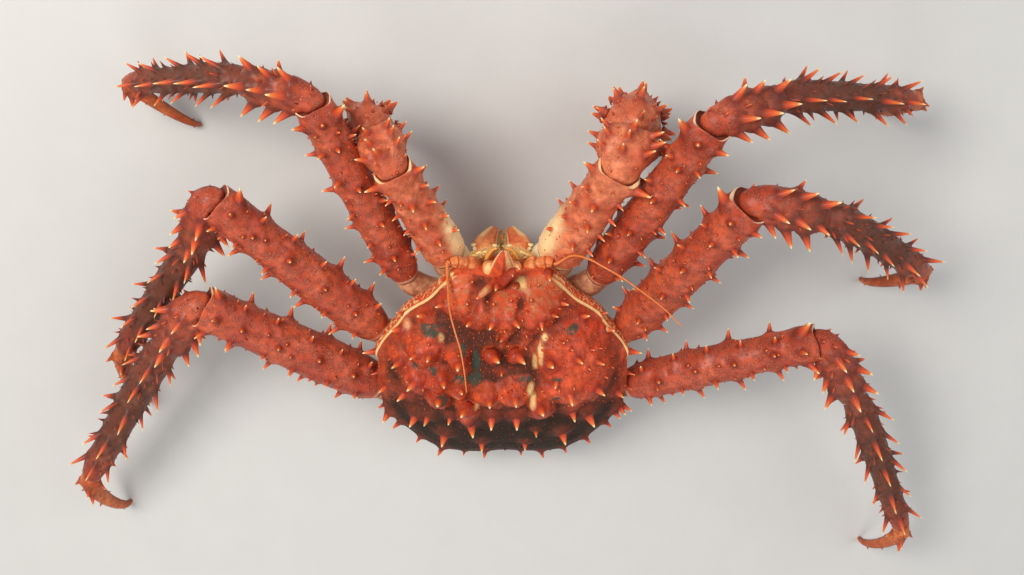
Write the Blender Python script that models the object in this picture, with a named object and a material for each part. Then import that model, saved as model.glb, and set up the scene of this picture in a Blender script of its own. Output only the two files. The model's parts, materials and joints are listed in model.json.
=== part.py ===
"""Southern king crab, a still life-size model standing on its leg tips.

Metres, +Z up. The animal faces -Y, so its own left side is at +X, and the floor is z = 0.
Places are given as (outward, forward, up): outward from the mid-plane, forward towards the head.
The tables hold millimetres and degrees unless they say shares.
"""

import math
import random

import bmesh
import bpy
from mathutils import Matrix, Vector
from mathutils.bvhtree import BVHTree

MM = 0.001
GAP = 0.3 * MM
MERGE = 0.001 * MM
SIDES = {"l": 1, "r": -1}

# Stance: the shell is carried head up, its middle this far above the floor.
BODY_PITCH = math.radians(14)
BODY_BACK = 12 * MM
BODY_HEIGHT = 60 * MM
# Puts the middle of the whole stance over the origin.
STANCE_SHIFT = Vector((-4.0, 0.0, 0.0)) * MM

# Carapace outline in the pitched body frame: (bearing from the head, radius as a share).
CARAPACE_HALF_WIDTH = 70
MARGIN_RADII = (
    (0, 0.75), (23, 0.84), (45, 0.79), (66, 0.87), (90, 1.0), (125, 1.12), (152, 1.14), (180, 1.08),
)
MARGIN_HEIGHTS = ((0, 3), (45, 0), (100, -1), (140, -5), (180, -9))
VAULT_HEIGHT = 19
VAULT_POWER = 2.6
# Swellings of the back: (outward on its left, forward, half width, half length, height).
GASTRIC = ((-23, 47, 13.4, 15.7, 10), (23, 49, 8.6, 13.9, 8), (0, 41, 13.4, 11.5, 9), (14, 33, 6.7, 5.4, 4),
           (-16, 33, 8.8, 6, 5))
MEDIAN = ((-1, 24, 3, 6, 2.5), (-13, 23, 4, 8, 2.5), (5, 15, 4.2, 4.8, 6), (-8, 16, 4.4, 5.0, 6.5))
CARDIAC = ((8, -13, 8.3, 8.6, 7), (-7, -10, 9.6, 10, 9), (20, -23, 6.5, 8.1, 7.5), (-21, -22, 6.9, 8.6, 7.5))
BRANCHIAL_LEFT = (
    (24, 11, 6.7, 8.1, 8), (24, -9, 5.9, 6.9, 6.5), (43, 15, 10.6, 11.2, 8), (48, -5, 8.8, 10.3, 7),
    (35, -4, 8, 8.6, 7), (36, -18, 6.7, 7.4, 6.5), (60, 6, 7.8, 7.8, 5),
)
BRANCHIAL_RIGHT = (
    (-25, 11, 6.9, 8.6, 8), (-27, -9, 6.7, 7.8, 6), (-40, 13, 20, 18.7, 9), (-43, -4, 18, 16.3, 9),
    (-54, 25, 9.8, 9, 6), (-39, -17, 6.9, 7.8, 6.5),
)
FRONT_CORNERS = ((42, 32, 5.7, 4.8, 5), (57, 19, 6.7, 4.8, 4), (32, 39, 5.2, 4.8, 5))
SWELLINGS = GASTRIC + MEDIAN + CARDIAC + BRANCHIAL_LEFT + BRANCHIAL_RIGHT + FRONT_CORNERS
# The swellings end within this share of the radius from the margin.
SWELLING_EDGE = 0.2
DOME_SHARES = (1.0, 0.97, 0.92, 0.86, 0.79, 0.72, 0.64, 0.56, 0.48, 0.40, 0.32, 0.24, 0.15, 0.07)
DOME_SIDES = 44
# The wall under the margin, down to the thorax: (height as a share, radius as a share behind, and in front).
WALL_RUN = ((1.0, 0.66, 0.80), (0.67, 0.80, 0.97), (0.38, 0.925, 1.03), (0.14, 0.995, 1.03))
WALL_FLOOR = -20
WALL_TURN = (70, 115)
THORAX_RUN = ((0.40, -36), (0.52, -33), (0.62, -27), (0.66, -20.3))

# Spines of the back in the body frame: (outward on its left, forward, length).
HEAD_SPINES = (
    (31, 39, 7), (41, 31, 8), (55, 20, 8), (-43, 30, 7), (-57, 19, 6), (27, 52, 6), (-25, 54, 6),
    (-31, 40, 6), (-26, 38, 5),
)
GASTRIC_SPINES = ((16, 34, 7), (4, 37, 7), (-6, 37, 7), (-21, 36, 6), (-1, 25, 5), (5, 16, 9), (-8, 17, 9))
CARDIAC_SPINES = (
    (7, -11, 8), (-7, -8, 8), (20, -20, 9), (-21, -19, 9), (6, -30, 9), (-8, -30, 9), (18, -34, 10),
    (-19, -43, 5), (12, -56, 7), (-13, -57, 6),
)
LEFT_SPINES = (
    (23, 12, 9), (56, 4, 7), (46, 13, 6), (39, 14, 7), (47, -4, 9), (32, -1, 8), (35, -15, 9), (23, -7, 7),
    (54, -19, 8), (49, -36, 9), (42, -35, 7), (29, -32, 6), (65, -19, 7), (33, -49, 9), (66, -42, 8),
)
RIGHT_SPINES = (
    (-25, 13, 9), (-40, 13, 7), (-51, 8, 6), (-37, -8, 9), (-30, 0, 6), (-51, -9, 8), (-64, -22, 7),
    (-39, -28, 8), (-48, -34, 10), (-34, -47, 9), (-67, -37, 7),
)
BACK_SPINES = HEAD_SPINES + GASTRIC_SPINES + CARDIAC_SPINES + LEFT_SPINES + RIGHT_SPINES
# How they lean towards the tail, by the distance behind the middle, and outward, by that from the midline.
BACK_LEAN = ((0, 0.22), (15, 0.22), (45, 0.57))
BACK_SPLAY = ((25, 0.05), (60, 0.40))
# Root radius as a share of the length.
BACK_SLIM = 0.37
# Spines of the margin: (bearing from the head, length on its left, length on its right).
MARGIN_SPINES = (
    (63, 5, 5), (88, 9, 9), (100, 4, 5), (108, 6, 4), (118, 5, 8), (130, 7, 6), (142, 5, 6), (153, 7, 5),
    (163, 4, 6), (172, 6, 4),
)
MARGIN_RISE = 0.30
MARGIN_SLIM = 0.28

# Rostrum: a broad keel between the eyes, and over it a narrow ridge that rises into a horn.
KEEL = {
    "root": (0, 45, -1), "end": (-1.2, 70, 3), "leave": (0, 1, 0.1), "land": (0, 1, 0.2),
    "girth": 6.2, "press": 0.86, "run": ((0, 1.1), (0.35, 1.0), (0.7, 0.66), (0.92, 0.32), (1, 0.16)),
}
ROSTRUM = {
    "root": (3.5, 45, 1), "end": (-7.6, 62.5, 11), "leave": (0.1, 0.8, 0.9), "land": (-0.75, 0.65, 0.0),
    "girth": 2.7, "press": 1.1, "run": ((0, 1.5), (0.4, 1.15), (0.7, 0.95), (0.9, 0.85), (1, 0.6)),
}
# Its spines: (foot, tip, root radius) with outward on the animal's left.
ROSTRUM_SPINES = (
    ((-5.5, 60.5, 10), (-5.9, 62.5, 17), 1.6), ((2.2, 52, 8), (3.2, 55.5, 20), 2.4),
    ((4.4, 52.5, 8), (13.2, 49.1, 18), 2.1), ((-8, 50.5, 7), (-6.9, 53.8, 15), 1.6),
)

# The folded tail: a broad pad under the thorax, (share of its outline, height), wider behind.
FLAP_RUN = ((0.72, -46), (0.93, -43.5), (1.0, -40), (0.94, -36.4))
FLAP_MIDDLE, FLAP_HALF_LENGTH, FLAP_HALF_WIDTH = -18, 34, 32
FLAP_NARROWING = 0.22
FLAP_SIDES = 24
# The plate behind that carries it.
TAIL_HINGE = {
    "root": (0, -60, -15), "end": (0, -50, -40), "leave": (0, -0.85, -0.5), "land": (0, 0.75, -0.65),
    "girth": 8.5, "press": 0.40, "sides": 12,
    "run": ((0, 1.0), (0.25, 1.05), (0.5, 1.05), (0.75, 1.0), (1, 0.9)),
}
TAIL_HINGE_DORSAL = (0, -0.5, 0.85)
TAIL_HINGE_ROWS = ((0, 0.3, 0.8, 2, 5, 10), (55, 0.3, 0.8, 2, 5, 10), (-55, 0.3, 0.8, 2, 5, 10))

# Head pieces in the body frame: root, end, the headings there, and (share of length, share of girth).
MOUTH = {
    "root": (0, 30, -26), "end": (0, 55, -40), "leave": (0, 1, 0), "land": (0, 0.2, -1),
    "girth": 3.2, "press": 1.5, "sides": 8, "run": ((0, 1.0), (0.6, 1.0), (0.9, 0.7), (1, 0.45)),
}
EYE = {
    "root": (6.5, 43, -3.5), "end": (7.0, 60, -1.5), "leave": (0.05, 1, 0.1), "land": (0.1, 1, 0.1),
    "girth": 3.8,
    "run": ((0, 0.7), (0.45, 0.82), (0.62, 0.96), (0.74, 1.0), (0.88, 0.92), (0.96, 0.70), (1, 0.4)),
}
PEDUNCLE = {
    "root": (11, 46, -8), "end": (27.5, 59, -3), "leave": (0.3, 1, 0.1), "land": (1, -0.2, 0.2),
    "girth": 4.6,
    "run": ((0, 1.0), (0.35, 1.05), (0.58, 1.0), (0.64, 0.72), (0.80, 0.70), (1, 0.50)),
}
ANTENNULE = {
    "root": (9, 43, -10), "end": (2.4, 65, -8), "leave": (0.2, 1, 0.1), "land": (-1, 0.25, 0.2),
    "girth": 1.4, "sides": 8, "run": ((0, 1.0), (0.5, 0.9), (0.75, 0.75), (1, 0.45)),
}
MAXILLIPED = {
    "root": (10, 32, -26), "end": (9.4, 56, -26), "leave": (0, 1, 0.2), "land": (-0.1, 0.4, -0.9),
    "girth": 5.4, "press": 0.85, "run": ((0, 0.8), (0.5, 0.86), (0.72, 0.92), (0.9, 1.0), (1, 0.95)),
}
PALP_END, PALP_LAND, PALP_GIRTH, PALP_LEAVE = (4.6, 57, -45), (-0.25, 0.1, -1), 4.2, 0.7
PALP_PRESS = 0.6
PALP_RUN = ((0, 1.0), (0.3, 0.85), (0.6, 0.66), (0.85, 0.48), (1, 0.36))

# Feelers: places on each flagellum in the body frame, the left one over the back, the right one aside.
FLAGELLUM_ROUTES = {
    "l": ((29, 53, 5.5), (27.5, 45, 21.5), (24.5, 37.5, 31), (21.5, 30, 37.5), (19.5, 19, 42), (18.5, 7, 44)),
    "r": ((37, 65, 0), (45, 67, 6), (54, 65, 12), (65, 60, 16.5), (84, 47.5, 23), (95, 37, 26)),
}
FLAGELLUM_STUB = 2.0
FLAGELLUM_RADIUS = 0.7
FLAGELLUM_THINNING = 0.45
FLAGELLUM_STEPS = 3

# How the radius runs along each piece of a limb: (share of the length, share of the girth).
HIP_RUN = ((0, 0.60), (0.4, 0.64), (0.75, 0.70), (1, 0.64))
SHOULDER_RUN = ((0, 0.60), (0.4, 0.76), (0.75, 1.0), (1, 0.94))
ARM_RUN = ((0, 0.92), (0.06, 1.04), (0.22, 1.08), (0.5, 1.0), (0.8, 0.91), (0.93, 0.93), (1, 0.90))
MERUS_RUN = ((0, 0.66), (0.06, 0.86), (0.22, 1.0), (0.5, 1.0), (0.8, 0.91), (0.93, 0.93), (1, 0.90))
CARPUS_RUN = ((0, 0.62), (0.2, 0.70), (0.5, 0.79), (0.82, 0.79), (1, 0.70))
PROPODUS_RUN = ((0, 0.60), (0.10, 0.69), (0.4, 0.70), (0.75, 0.61), (0.93, 0.57), (1, 0.46))
WRIST_RUN = ((0, 0.66), (0.2, 0.74), (0.5, 0.90), (0.82, 0.90), (1, 0.76))
DACTYL_RUN = ((0, 0.40), (0.15, 0.44), (0.45, 0.34), (0.75, 0.23), (1, 0.12))
LIMB_SIDES, SLIM_SIDES = 10, 8
# How far a piece keeps the heading that it leaves with, and the one that it ends with.
STRAIGHT_LEAVE, CARPUS_LEAVE, PROPODUS_LEAVE, DACTYL_LEAVE, PALM_LEAVE = 0.9, 0.6, 0.45, 0.8, 0.5
LAND_PULL = 0.9

# Legs: where each starts inside the thorax and where its merus starts, in the body frame.
LEG_ROOTS = {1: (27, 23, -27), 2: (34, 5, -27), 3: (36, -16, -27)}
LEG_HIPS = {1: (53.5, 40, -20), 2: (69.5, 8.5, -13.5), 3: (71, -29, -12)}
LEG_GIRTHS = {"l1": 10.5, "l2": 12.0, "l3": 13.0, "r1": 11.0, "r2": 12.0, "r3": 11.0}
# Merus, carpus and propodus, then the dactyl.
LEG_LENGTHS = {1: (124, 40, 94), 2: (123, 38, 103), 3: (113, 42, 110)}
DACTYL_LENGTHS = {1: 50, 2: 58, 3: 54}
# Bearing and rise of each merus, carpus and propodus, then the bearing of the dactyl.
LEG_POSES = {
    "l1": ((70, 26), (14, -25), (-6, -37), -132),
    "l2": ((48, 21.5), (-56, -36), (-53, -22), -91),
    "l3": ((33, 17), (-46, -23), (-57, -11), -102),
    "r1": ((63, 30), (16, -26), (-5, -30), -90),
    "r2": ((59, 32.5), (-10, -10), (-32, -34), -126),
    "r3": ((21, 17), (-54, -9), (-65, -14), -108),
}
# Claws: the same, with merus and carpus only, and a wrist wider than the arm.
CLAW_ROOT = (18, 31, -27)
CLAW_HIP = (30, 55, -19)
CLAW_LENGTHS = {"l": (71, 22), "r": (73, 21)}
CLAW_GIRTHS = {"l": 11.0, "r": 12.5}
CLAW_WRIST_GROWTH = {"l": 1.17, "r": 1.22}
CLAW_POSES = {"l": ((66, 31), (60, -20)), "r": ((62, 31), (72, -24))}
# The chela hangs from the wrist: bearing and rise, then palm length, finger length and half height.
CHELAE = {"l": (-54, -78, 41, 29, 13.5), "r": (-54, -78, 46, 32, 17.5)}
# The palm: (share of its length, share of its half height, share of its half thickness).
PALM_RUN = ((0, 0.50, 0.52), (0.10, 0.68, 0.66), (0.4, 0.97, 0.80), (0.75, 1.0, 0.78), (1, 0.94, 0.66))
# A finger: (share of its length, middle above the gape, half height, half thickness, as shares).
FINGER_RUN = (
    (0, 0.47, 0.40, 0.42), (0.3, 0.42, 0.34, 0.38), (0.6, 0.33, 0.26, 0.30), (0.85, 0.20, 0.15, 0.20),
    (1, 0.09, 0.06, 0.08),
)
FINGER_STEP = 0.2
MOVING_FINGER_REACH = 0.97

# Spine rows: (angle from dorsal towards the head, first and last share, count, length, lean to the tip).
MERUS_ROWS = (
    (0, 0.12, 0.90, 4, 7.5, 15), (45, 0.06, 0.90, 5, 7.0, 15), (-45, 0.06, 0.90, 5, 7.0, 15),
    (95, 0.08, 0.88, 4, 7.5, 15), (-95, 0.08, 0.88, 4, 7.5, 15), (180, 0.35, 0.65, 1, 6.0, 10),
    (48, 0.93, 0.97, 1, 14.0, 38), (0, 0.92, 0.96, 1, 8.0, 30), (-55, 0.92, 0.96, 1, 9.0, 35),
)
CARPUS_ROWS = (
    (5, 0.18, 0.95, 3, 11.5, 35), (55, 0.22, 0.92, 3, 11.0, 32), (-55, 0.22, 0.92, 3, 11.0, 32),
    (110, 0.50, 0.75, 1, 7.5, 25), (-110, 0.50, 0.75, 1, 7.5, 25),
)
PROPODUS_ROWS = (
    (0, 0.06, 0.95, 5, 13.5, 45), (55, 0.08, 0.95, 5, 12.5, 45), (-55, 0.08, 0.95, 5, 12.5, 45),
    (115, 0.12, 0.92, 3, 11.0, 42), (-115, 0.12, 0.92, 3, 11.0, 42),
)
DACTYL_ROWS = ((0, 0.10, 0.30, 2, 7.0, 45), (80, 0.10, 0.20, 1, 6.0, 45), (-80, 0.10, 0.20, 1, 6.0, 45))
CLAW_MERUS_ROWS = (
    (0, 0.25, 0.85, 3, 8.0, 12), (50, 0.25, 0.9, 4, 7.0, 12), (-50, 0.25, 0.9, 4, 7.0, 12),
    (110, 0.3, 0.9, 3, 6.0, 12), (-110, 0.3, 0.9, 3, 6.0, 12), (100, 0.94, 0.96, 1, 15.0, 25),
    (60, 0.94, 0.96, 1, 11.0, 25), (-60, 0.94, 0.96, 1, 9.0, 25),
)
CLAW_CARPUS_ROWS = (
    (95, 0.45, 0.85, 2, 14.0, 10), (45, 0.3, 0.9, 3, 9.0, 15), (0, 0.25, 0.9, 3, 9.0, 15),
    (-45, 0.3, 0.9, 3, 8.0, 15), (-95, 0.4, 0.9, 2, 7.0, 15),
)
PALM_ROWS = (
    (0, 0.08, 0.9, 4, 7.0, 10), (40, 0.08, 0.9, 3, 6.5, 10), (-40, 0.08, 0.9, 3, 6.5, 10),
    (85, 0.1, 0.9, 3, 6.0, 10), (-85, 0.1, 0.9, 3, 6.0, 10), (135, 0.2, 0.9, 1, 5.0, 10),
    (-135, 0.2, 0.9, 1, 5.0, 10),
)
# Root radius of a limb's spine as a share of its length.
LIMB_SLIM, PROPODUS_SLIM, PALM_SLIM = 0.28, 0.18, 0.34
# How far each spine may stray, as a share of the piece, in degrees, and as shares of its length.
STRAY_SHARE, STRAY_TURN, SIZE_SPREAD = 0.012, 8, (0.82, 1.12)
ROOT_DEPTH = 3.0 * MM
# A spine of a root under the first number, in millimetres, has as many sides as the second.
SPINE_SIDES = ((2.9, 4), (math.inf, 5))
SPINE_STEPS = 6
SPINE_CLEARANCE = 0.5 * MM
SPINE_RANGE = 30 * MM
FLOOR_CLEARANCE = 1.0 * MM
SPINE_TRIMS = (1.0, 0.8, 0.62, 0.45)

# A little under the gap, so that faces that already meet at it stay whole.
CHAIN_GROWTH = 0.9 * GAP
SMOOTH_ANGLE = math.radians(40)


def smooth_between(rows, x):
    """The value at x of a smooth curve through (place, value) rows."""
    for (x0, y0), (x1, y1) in zip(rows, rows[1:]):
        if x <= x1:
            t = max(0.0, (x - x0) / (x1 - x0))
            return y0 + (y1 - y0) * t * t * (3 - 2 * t)
    return rows[-1][1]


def heading(side, bearing, rise):
    """Unit vector: bearing from straight outward towards the head, rise above level, in degrees."""
    b, r = math.radians(bearing), math.radians(rise)
    return Vector((side * math.cos(r) * math.cos(b), -math.cos(r) * math.sin(b), math.sin(r)))


def body_frame():
    """The pitched body frame: local -Y to the head, +Z out of the back."""
    place = Matrix.Translation(Vector((0, BODY_BACK, BODY_HEIGHT)) + STANCE_SHIFT)
    return place @ Matrix.Rotation(-BODY_PITCH, 4, "X")


def at(outward, forward, up, side=1):
    """World place of a point of the body frame given in millimetres."""
    return body_frame() @ (Vector((side * outward, -forward, up)) * MM)


def along(outward, forward, up, side=1):
    """World direction of a direction of the body frame."""
    return (body_frame().to_3x3() @ Vector((side * outward, -forward, up))).normalized()


def margin_radius(bearing):
    return smooth_between(MARGIN_RADII, abs(bearing)) * CARAPACE_HALF_WIDTH


def back_height(outward, forward):
    """Height of the back above the body frame's plane, in millimetres."""
    bearing = math.degrees(math.atan2(abs(outward), forward))
    share = min(1.0, math.hypot(outward, forward) / margin_radius(bearing))
    swells = 0.0
    for x, f, half_width, half_length, height in SWELLINGS:
        spread = math.hypot((outward - x) / half_width, (forward - f) / half_length)
        swells += (height * math.exp(-(spread**3))) ** 3
    rim = smooth_between(MARGIN_HEIGHTS, bearing) * share**2
    vault = VAULT_HEIGHT * (1 - share**VAULT_POWER)
    return rim + vault + swells ** (1 / 3) * min(1.0, (1 - share) / SWELLING_EDGE)


def back_normal(outward, forward, step=1.5):
    across = back_height(outward + step, forward) - back_height(outward - step, forward)
    rise = back_height(outward, forward + step) - back_height(outward, forward - step)
    return Vector((-across, -rise, 2 * step)).normalized()


def finished(bm, name):
    bmesh.ops.recalc_face_normals(bm, faces=bm.faces)
    mesh = bpy.data.meshes.new(name)
    bm.to_mesh(mesh)
    bm.free()
    return mesh


def loft(name, rings, tip=None):
    """A closed mesh through rings of equal count: flat at the start, flat or pointed at the end."""
    bm = bmesh.new()
    loops = [[bm.verts.new(point) for point in ring] for ring in rings]
    count = len(loops[0])
    for lower, upper in zip(loops, loops[1:]):
        for i in range(count):
            j = (i + 1) % count
            bm.faces.new((lower[i], lower[j], upper[j], upper[i]))
    bm.faces.new(loops[0])
    if tip is None:
        bm.faces.new(loops[-1])
    else:
        point = bm.verts.new(tip)
        for i in range(count):
            bm.faces.new((loops[-1][i], loops[-1][(i + 1) % count], point))
    return finished(bm, name)


def ellipse(centre, across, up, half_width, half_height, sides):
    turns = (2 * math.pi * (i + 0.5) / sides for i in range(sides))
    return [centre + across * (math.cos(a) * half_width) + up * (math.sin(a) * half_height) for a in turns]


class Crab:
    """The nodes of the animal, and the spines that each will be fused with."""

    def __init__(self):
        self.collection = bpy.data.collections.new("southern_king_crab")
        bpy.context.scene.collection.children.link(self.collection)
        self.root = bpy.data.objects.new("king_crab_origin", None)
        self.collection.objects.link(self.root)
        self.nodes = {}
        self.spines = {}
        self.origins = {}

    def add(self, name, mesh, look, origin):
        node = bpy.data.objects.new(name, mesh)
        node.data.materials.append(look)
        self.collection.objects.link(node)
        self.nodes[name] = node
        self.spines[name] = []
        self.origins[name] = origin


def material(name, colour, roughness=0.45):
    made = bpy.data.materials.new(name)
    made.use_nodes = True
    shader = made.node_tree.nodes["Principled BSDF"]
    shader.inputs["Base Color"].default_value = (*colour, 1.0)
    shader.inputs["Roughness"].default_value = roughness
    shader.inputs["Metallic"].default_value = 0.0
    return made


def make_materials():
    return {
        "shell": material("carapace_shell", (0.60, 0.11, 0.05)),
        "leg": material("leg_shell", (0.58, 0.13, 0.06)),
        "tip": material("dactyl_tip", (0.75, 0.28, 0.06)),
        "claw": material("claw_shell", (0.62, 0.18, 0.09)),
        "finger": material("claw_finger", (0.72, 0.30, 0.12)),
        "belly": material("pale_underside", (0.80, 0.52, 0.30)),
        "mouth": material("mouthparts", (0.85, 0.40, 0.18)),
        "feeler": material("feelers", (0.85, 0.30, 0.06)),
        "eye": material("dark_eye", (0.03, 0.02, 0.02), 0.15),
    }


class Limb:
    """A chain of pieces: where the last one ended, the way it pointed and its dorsal side."""

    def __init__(self, start, direction, dorsal=Vector((0, 0, 1))):
        self.end = start
        self.tangent = direction.normalized()
        self.dorsal = dorsal

    def sweep(self, stop, arrive, run, girth, sides=LIMB_SIDES, leave=STRAIGHT_LEAVE, press=1.0):
        """Rings from the last end to stop, on a cubic that leaves with the last heading."""
        start = self.end + self.tangent * GAP
        length = (stop - start).length
        pull = self.tangent * length * leave
        land = arrive * length * LAND_PULL
        rings, stations = [], []
        for t, share in run:
            point = (2 * t**3 - 3 * t**2 + 1) * start + (t**3 - 2 * t**2 + t) * pull
            point += (3 * t**2 - 2 * t**3) * stop + (t**3 - t**2) * land
            slope = (6 * t**2 - 6 * t) * (start - stop) + (3 * t**2 - 4 * t + 1) * pull
            tangent = (slope + (3 * t**2 - 2 * t) * land).normalized()
            self.dorsal = (self.dorsal - self.dorsal.dot(tangent) * tangent).normalized()
            across = tangent.cross(self.dorsal)
            half_width, half_height = share * girth * MM / press, share * girth * MM * press
            rings.append(ellipse(point, across, self.dorsal, half_width, half_height, sides))
            stations.append((t, point, tangent, across, self.dorsal, half_width, half_height))
        self.end = stop
        self.tangent = stations[-1][2]
        return rings, stations


def station_at(stations, share):
    for a, b in zip(stations, stations[1:]):
        if share <= b[0]:
            t = (share - a[0]) / (b[0] - a[0])
            return [p + (q - p) * t for p, q in zip(a[1:], b[1:])]
    return stations[-1][1:]


def spine_rows(stations, rows, rng, slim=LIMB_SLIM):
    """Spines along a swept piece, as (foot, direction, length, root radius)."""
    made = []
    for angle, first, last, count, length, lean in rows:
        for i in range(count):
            share = first + (last - first) * (i + 0.5) / count + rng.uniform(-STRAY_SHARE, STRAY_SHARE)
            turn = math.radians(angle + rng.uniform(-STRAY_TURN, STRAY_TURN))
            point, tangent, across, up, half_width, half_height = station_at(stations, share)
            foot = point + across * (math.sin(turn) * half_width) + up * (math.cos(turn) * half_height)
            out = across * math.sin(turn) + up * math.cos(turn)
            way = (out + tangent * math.tan(math.radians(lean))).normalized()
            size = length * rng.uniform(*SIZE_SPREAD) * MM
            made.append((foot, way, size, size * slim))
    return made


def outline_ring(share_at, height_at):
    """A ring round the body, its share of the outline's radius given by the bearing."""
    ring = []
    for i in range(DOME_SIDES):
        bearing = 360 * i / DOME_SIDES - 180
        radius = margin_radius(bearing) * share_at(bearing)
        turn = math.radians(bearing)
        outward, forward = radius * math.sin(turn), radius * math.cos(turn)
        ring.append(at(outward, forward, height_at(bearing, outward, forward)))
    return ring


def wall_ring(level, behind, ahead):
    """A ring of the wall: level 0 at the margin, 1 at the flat floor, steep in front."""

    def share(bearing):
        back = smooth_between(((WALL_TURN[0], 0.0), (WALL_TURN[1], 1.0)), abs(bearing))
        return behind * back + ahead * (1 - back)

    def height(bearing, outward, forward):
        return smooth_between(MARGIN_HEIGHTS, abs(bearing)) * (1 - level) + WALL_FLOOR * level

    return outline_ring(share, height)


def make_carapace(crab, look):
    rings = [wall_ring(*row) for row in WALL_RUN]
    rings += [outline_ring(lambda b, s=share: s, lambda b, o, f: back_height(o, f)) for share in DOME_SHARES]
    crab.add("carapace", loft("carapace", rings, at(0, 0, back_height(0, 0.01))), look, at(0, 0, 0))
    for spec in (KEEL, ROSTRUM):
        _, rings, _ = swept_piece(spec)
        apply_boolean(crab, "carapace", "UNION", "EXACT", [bpy.data.objects.new("horn", loft("horn", rings))])
    crab.spines["carapace"] = carapace_spines()


def carapace_spines():
    """The spines of the back, the margin and the rostrum."""
    made = []
    for outward, forward, size in BACK_SPINES:
        foot = at(outward, forward, back_height(outward, forward))
        normal = back_normal(outward, forward)
        splay = math.copysign(smooth_between(BACK_SPLAY, abs(outward)), outward)
        way = along(normal.x + splay, normal.y - smooth_between(BACK_LEAN, -forward), normal.z)
        made.append((foot, way, size * MM, size * MM * BACK_SLIM))
    for bearing, left, right in MARGIN_SPINES:
        turn = math.radians(bearing)
        radius = margin_radius(bearing)
        height = smooth_between(MARGIN_HEIGHTS, bearing)
        for side, size in ((1, left), (-1, right)):
            foot = at(radius * math.sin(turn), radius * math.cos(turn), height, side)
            way = along(math.sin(turn), math.cos(turn), MARGIN_RISE, side)
            made.append((foot, way, size * MM, size * MM * MARGIN_SLIM))
    for foot, tip, root in ROSTRUM_SPINES:
        way = at(*tip) - at(*foot)
        made.append((at(*foot), way.normalized(), way.length, root * MM))
    return made


def make_thorax(crab, look):
    rings = [outline_ring(lambda b, s=share: s, lambda b, o, f, z=height: z) for share, height in THORAX_RUN]
    crab.add("thorax", loft("thorax", rings), look, at(0, 0, THORAX_RUN[0][1]))


def make_abdomen(crab, look):
    rings = []
    for share, height in FLAP_RUN:
        ring = []
        for i in range(FLAP_SIDES):
            turn = 2 * math.pi * i / FLAP_SIDES
            forward = FLAP_MIDDLE + share * FLAP_HALF_LENGTH * math.cos(turn)
            outward = share * FLAP_HALF_WIDTH * math.sin(turn) * (1 - FLAP_NARROWING * math.cos(turn))
            ring.append(at(outward, forward, height))
        rings.append(ring)
    crab.add("abdomen_flap", loft("abdomen_flap", rings), look, at(0, FLAP_MIDDLE, FLAP_RUN[-1][1]))
    _, rings, stations = swept_piece(TAIL_HINGE, dorsal=along(*TAIL_HINGE_DORSAL))
    crab.add("abdomen_base", loft("abdomen_base", rings), look, at(*TAIL_HINGE["root"]))
    crab.spines["abdomen_base"] = spine_rows(stations, TAIL_HINGE_ROWS, random.Random(7))


def swept_piece(spec, side=1, dorsal=Vector((0, 0, 1))):
    """A piece of the body frame swept from its root to its end."""
    limb = Limb(at(*spec["root"], side), along(*spec["leave"], side), dorsal)
    sides, press = spec.get("sides", LIMB_SIDES), spec.get("press", 1.0)
    stop, land = at(*spec["end"], side), along(*spec["land"], side)
    rings, stations = limb.sweep(stop, land, spec["run"], spec["girth"], sides, press=press)
    return limb, rings, stations


def head_piece(crab, name, spec, look, side=1):
    limb, rings, _ = swept_piece(spec, side)
    crab.add(name, loft(name, rings), look, at(*spec["root"], side))
    return limb


def make_head(crab, looks):
    head_piece(crab, "mouth", MOUTH, looks["mouth"])
    for key, side in SIDES.items():
        head_piece(crab, f"eye_{key}", EYE, looks["eye"], side)
        peduncle = head_piece(crab, f"antenna_{key}", PEDUNCLE, looks["mouth"], side)
        make_flagellum(crab, key, side, peduncle, looks["feeler"])
        head_piece(crab, f"antennule_{key}", ANTENNULE, looks["feeler"], side)
        limb = head_piece(crab, f"maxilliped_{key}", MAXILLIPED, looks["mouth"], side)
        start = limb.end.copy()
        stop, land = at(*PALP_END, side), along(*PALP_LAND, side)
        rings, _ = limb.sweep(stop, land, PALP_RUN, PALP_GIRTH, SLIM_SIDES, PALP_LEAVE, PALP_PRESS)
        crab.add(f"maxilliped_palp_{key}", loft("palp", rings), looks["mouth"], start)


def smooth_route(places):
    """Points of a smooth curve through the places."""
    ends = [2 * places[0] - places[1], *places, 2 * places[-1] - places[-2]]
    points = []
    for p0, p1, p2, p3 in zip(ends, ends[1:], ends[2:], ends[3:]):
        for step in range(FLAGELLUM_STEPS):
            t = step / FLAGELLUM_STEPS
            bend = (2 * p0 - 5 * p1 + 4 * p2 - p3) * t * t + (3 * p1 - p0 - 3 * p2 + p3) * t**3
            points.append(p1 + ((p2 - p0) * t + bend) / 2)
    return [*points, places[-1]]


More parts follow.
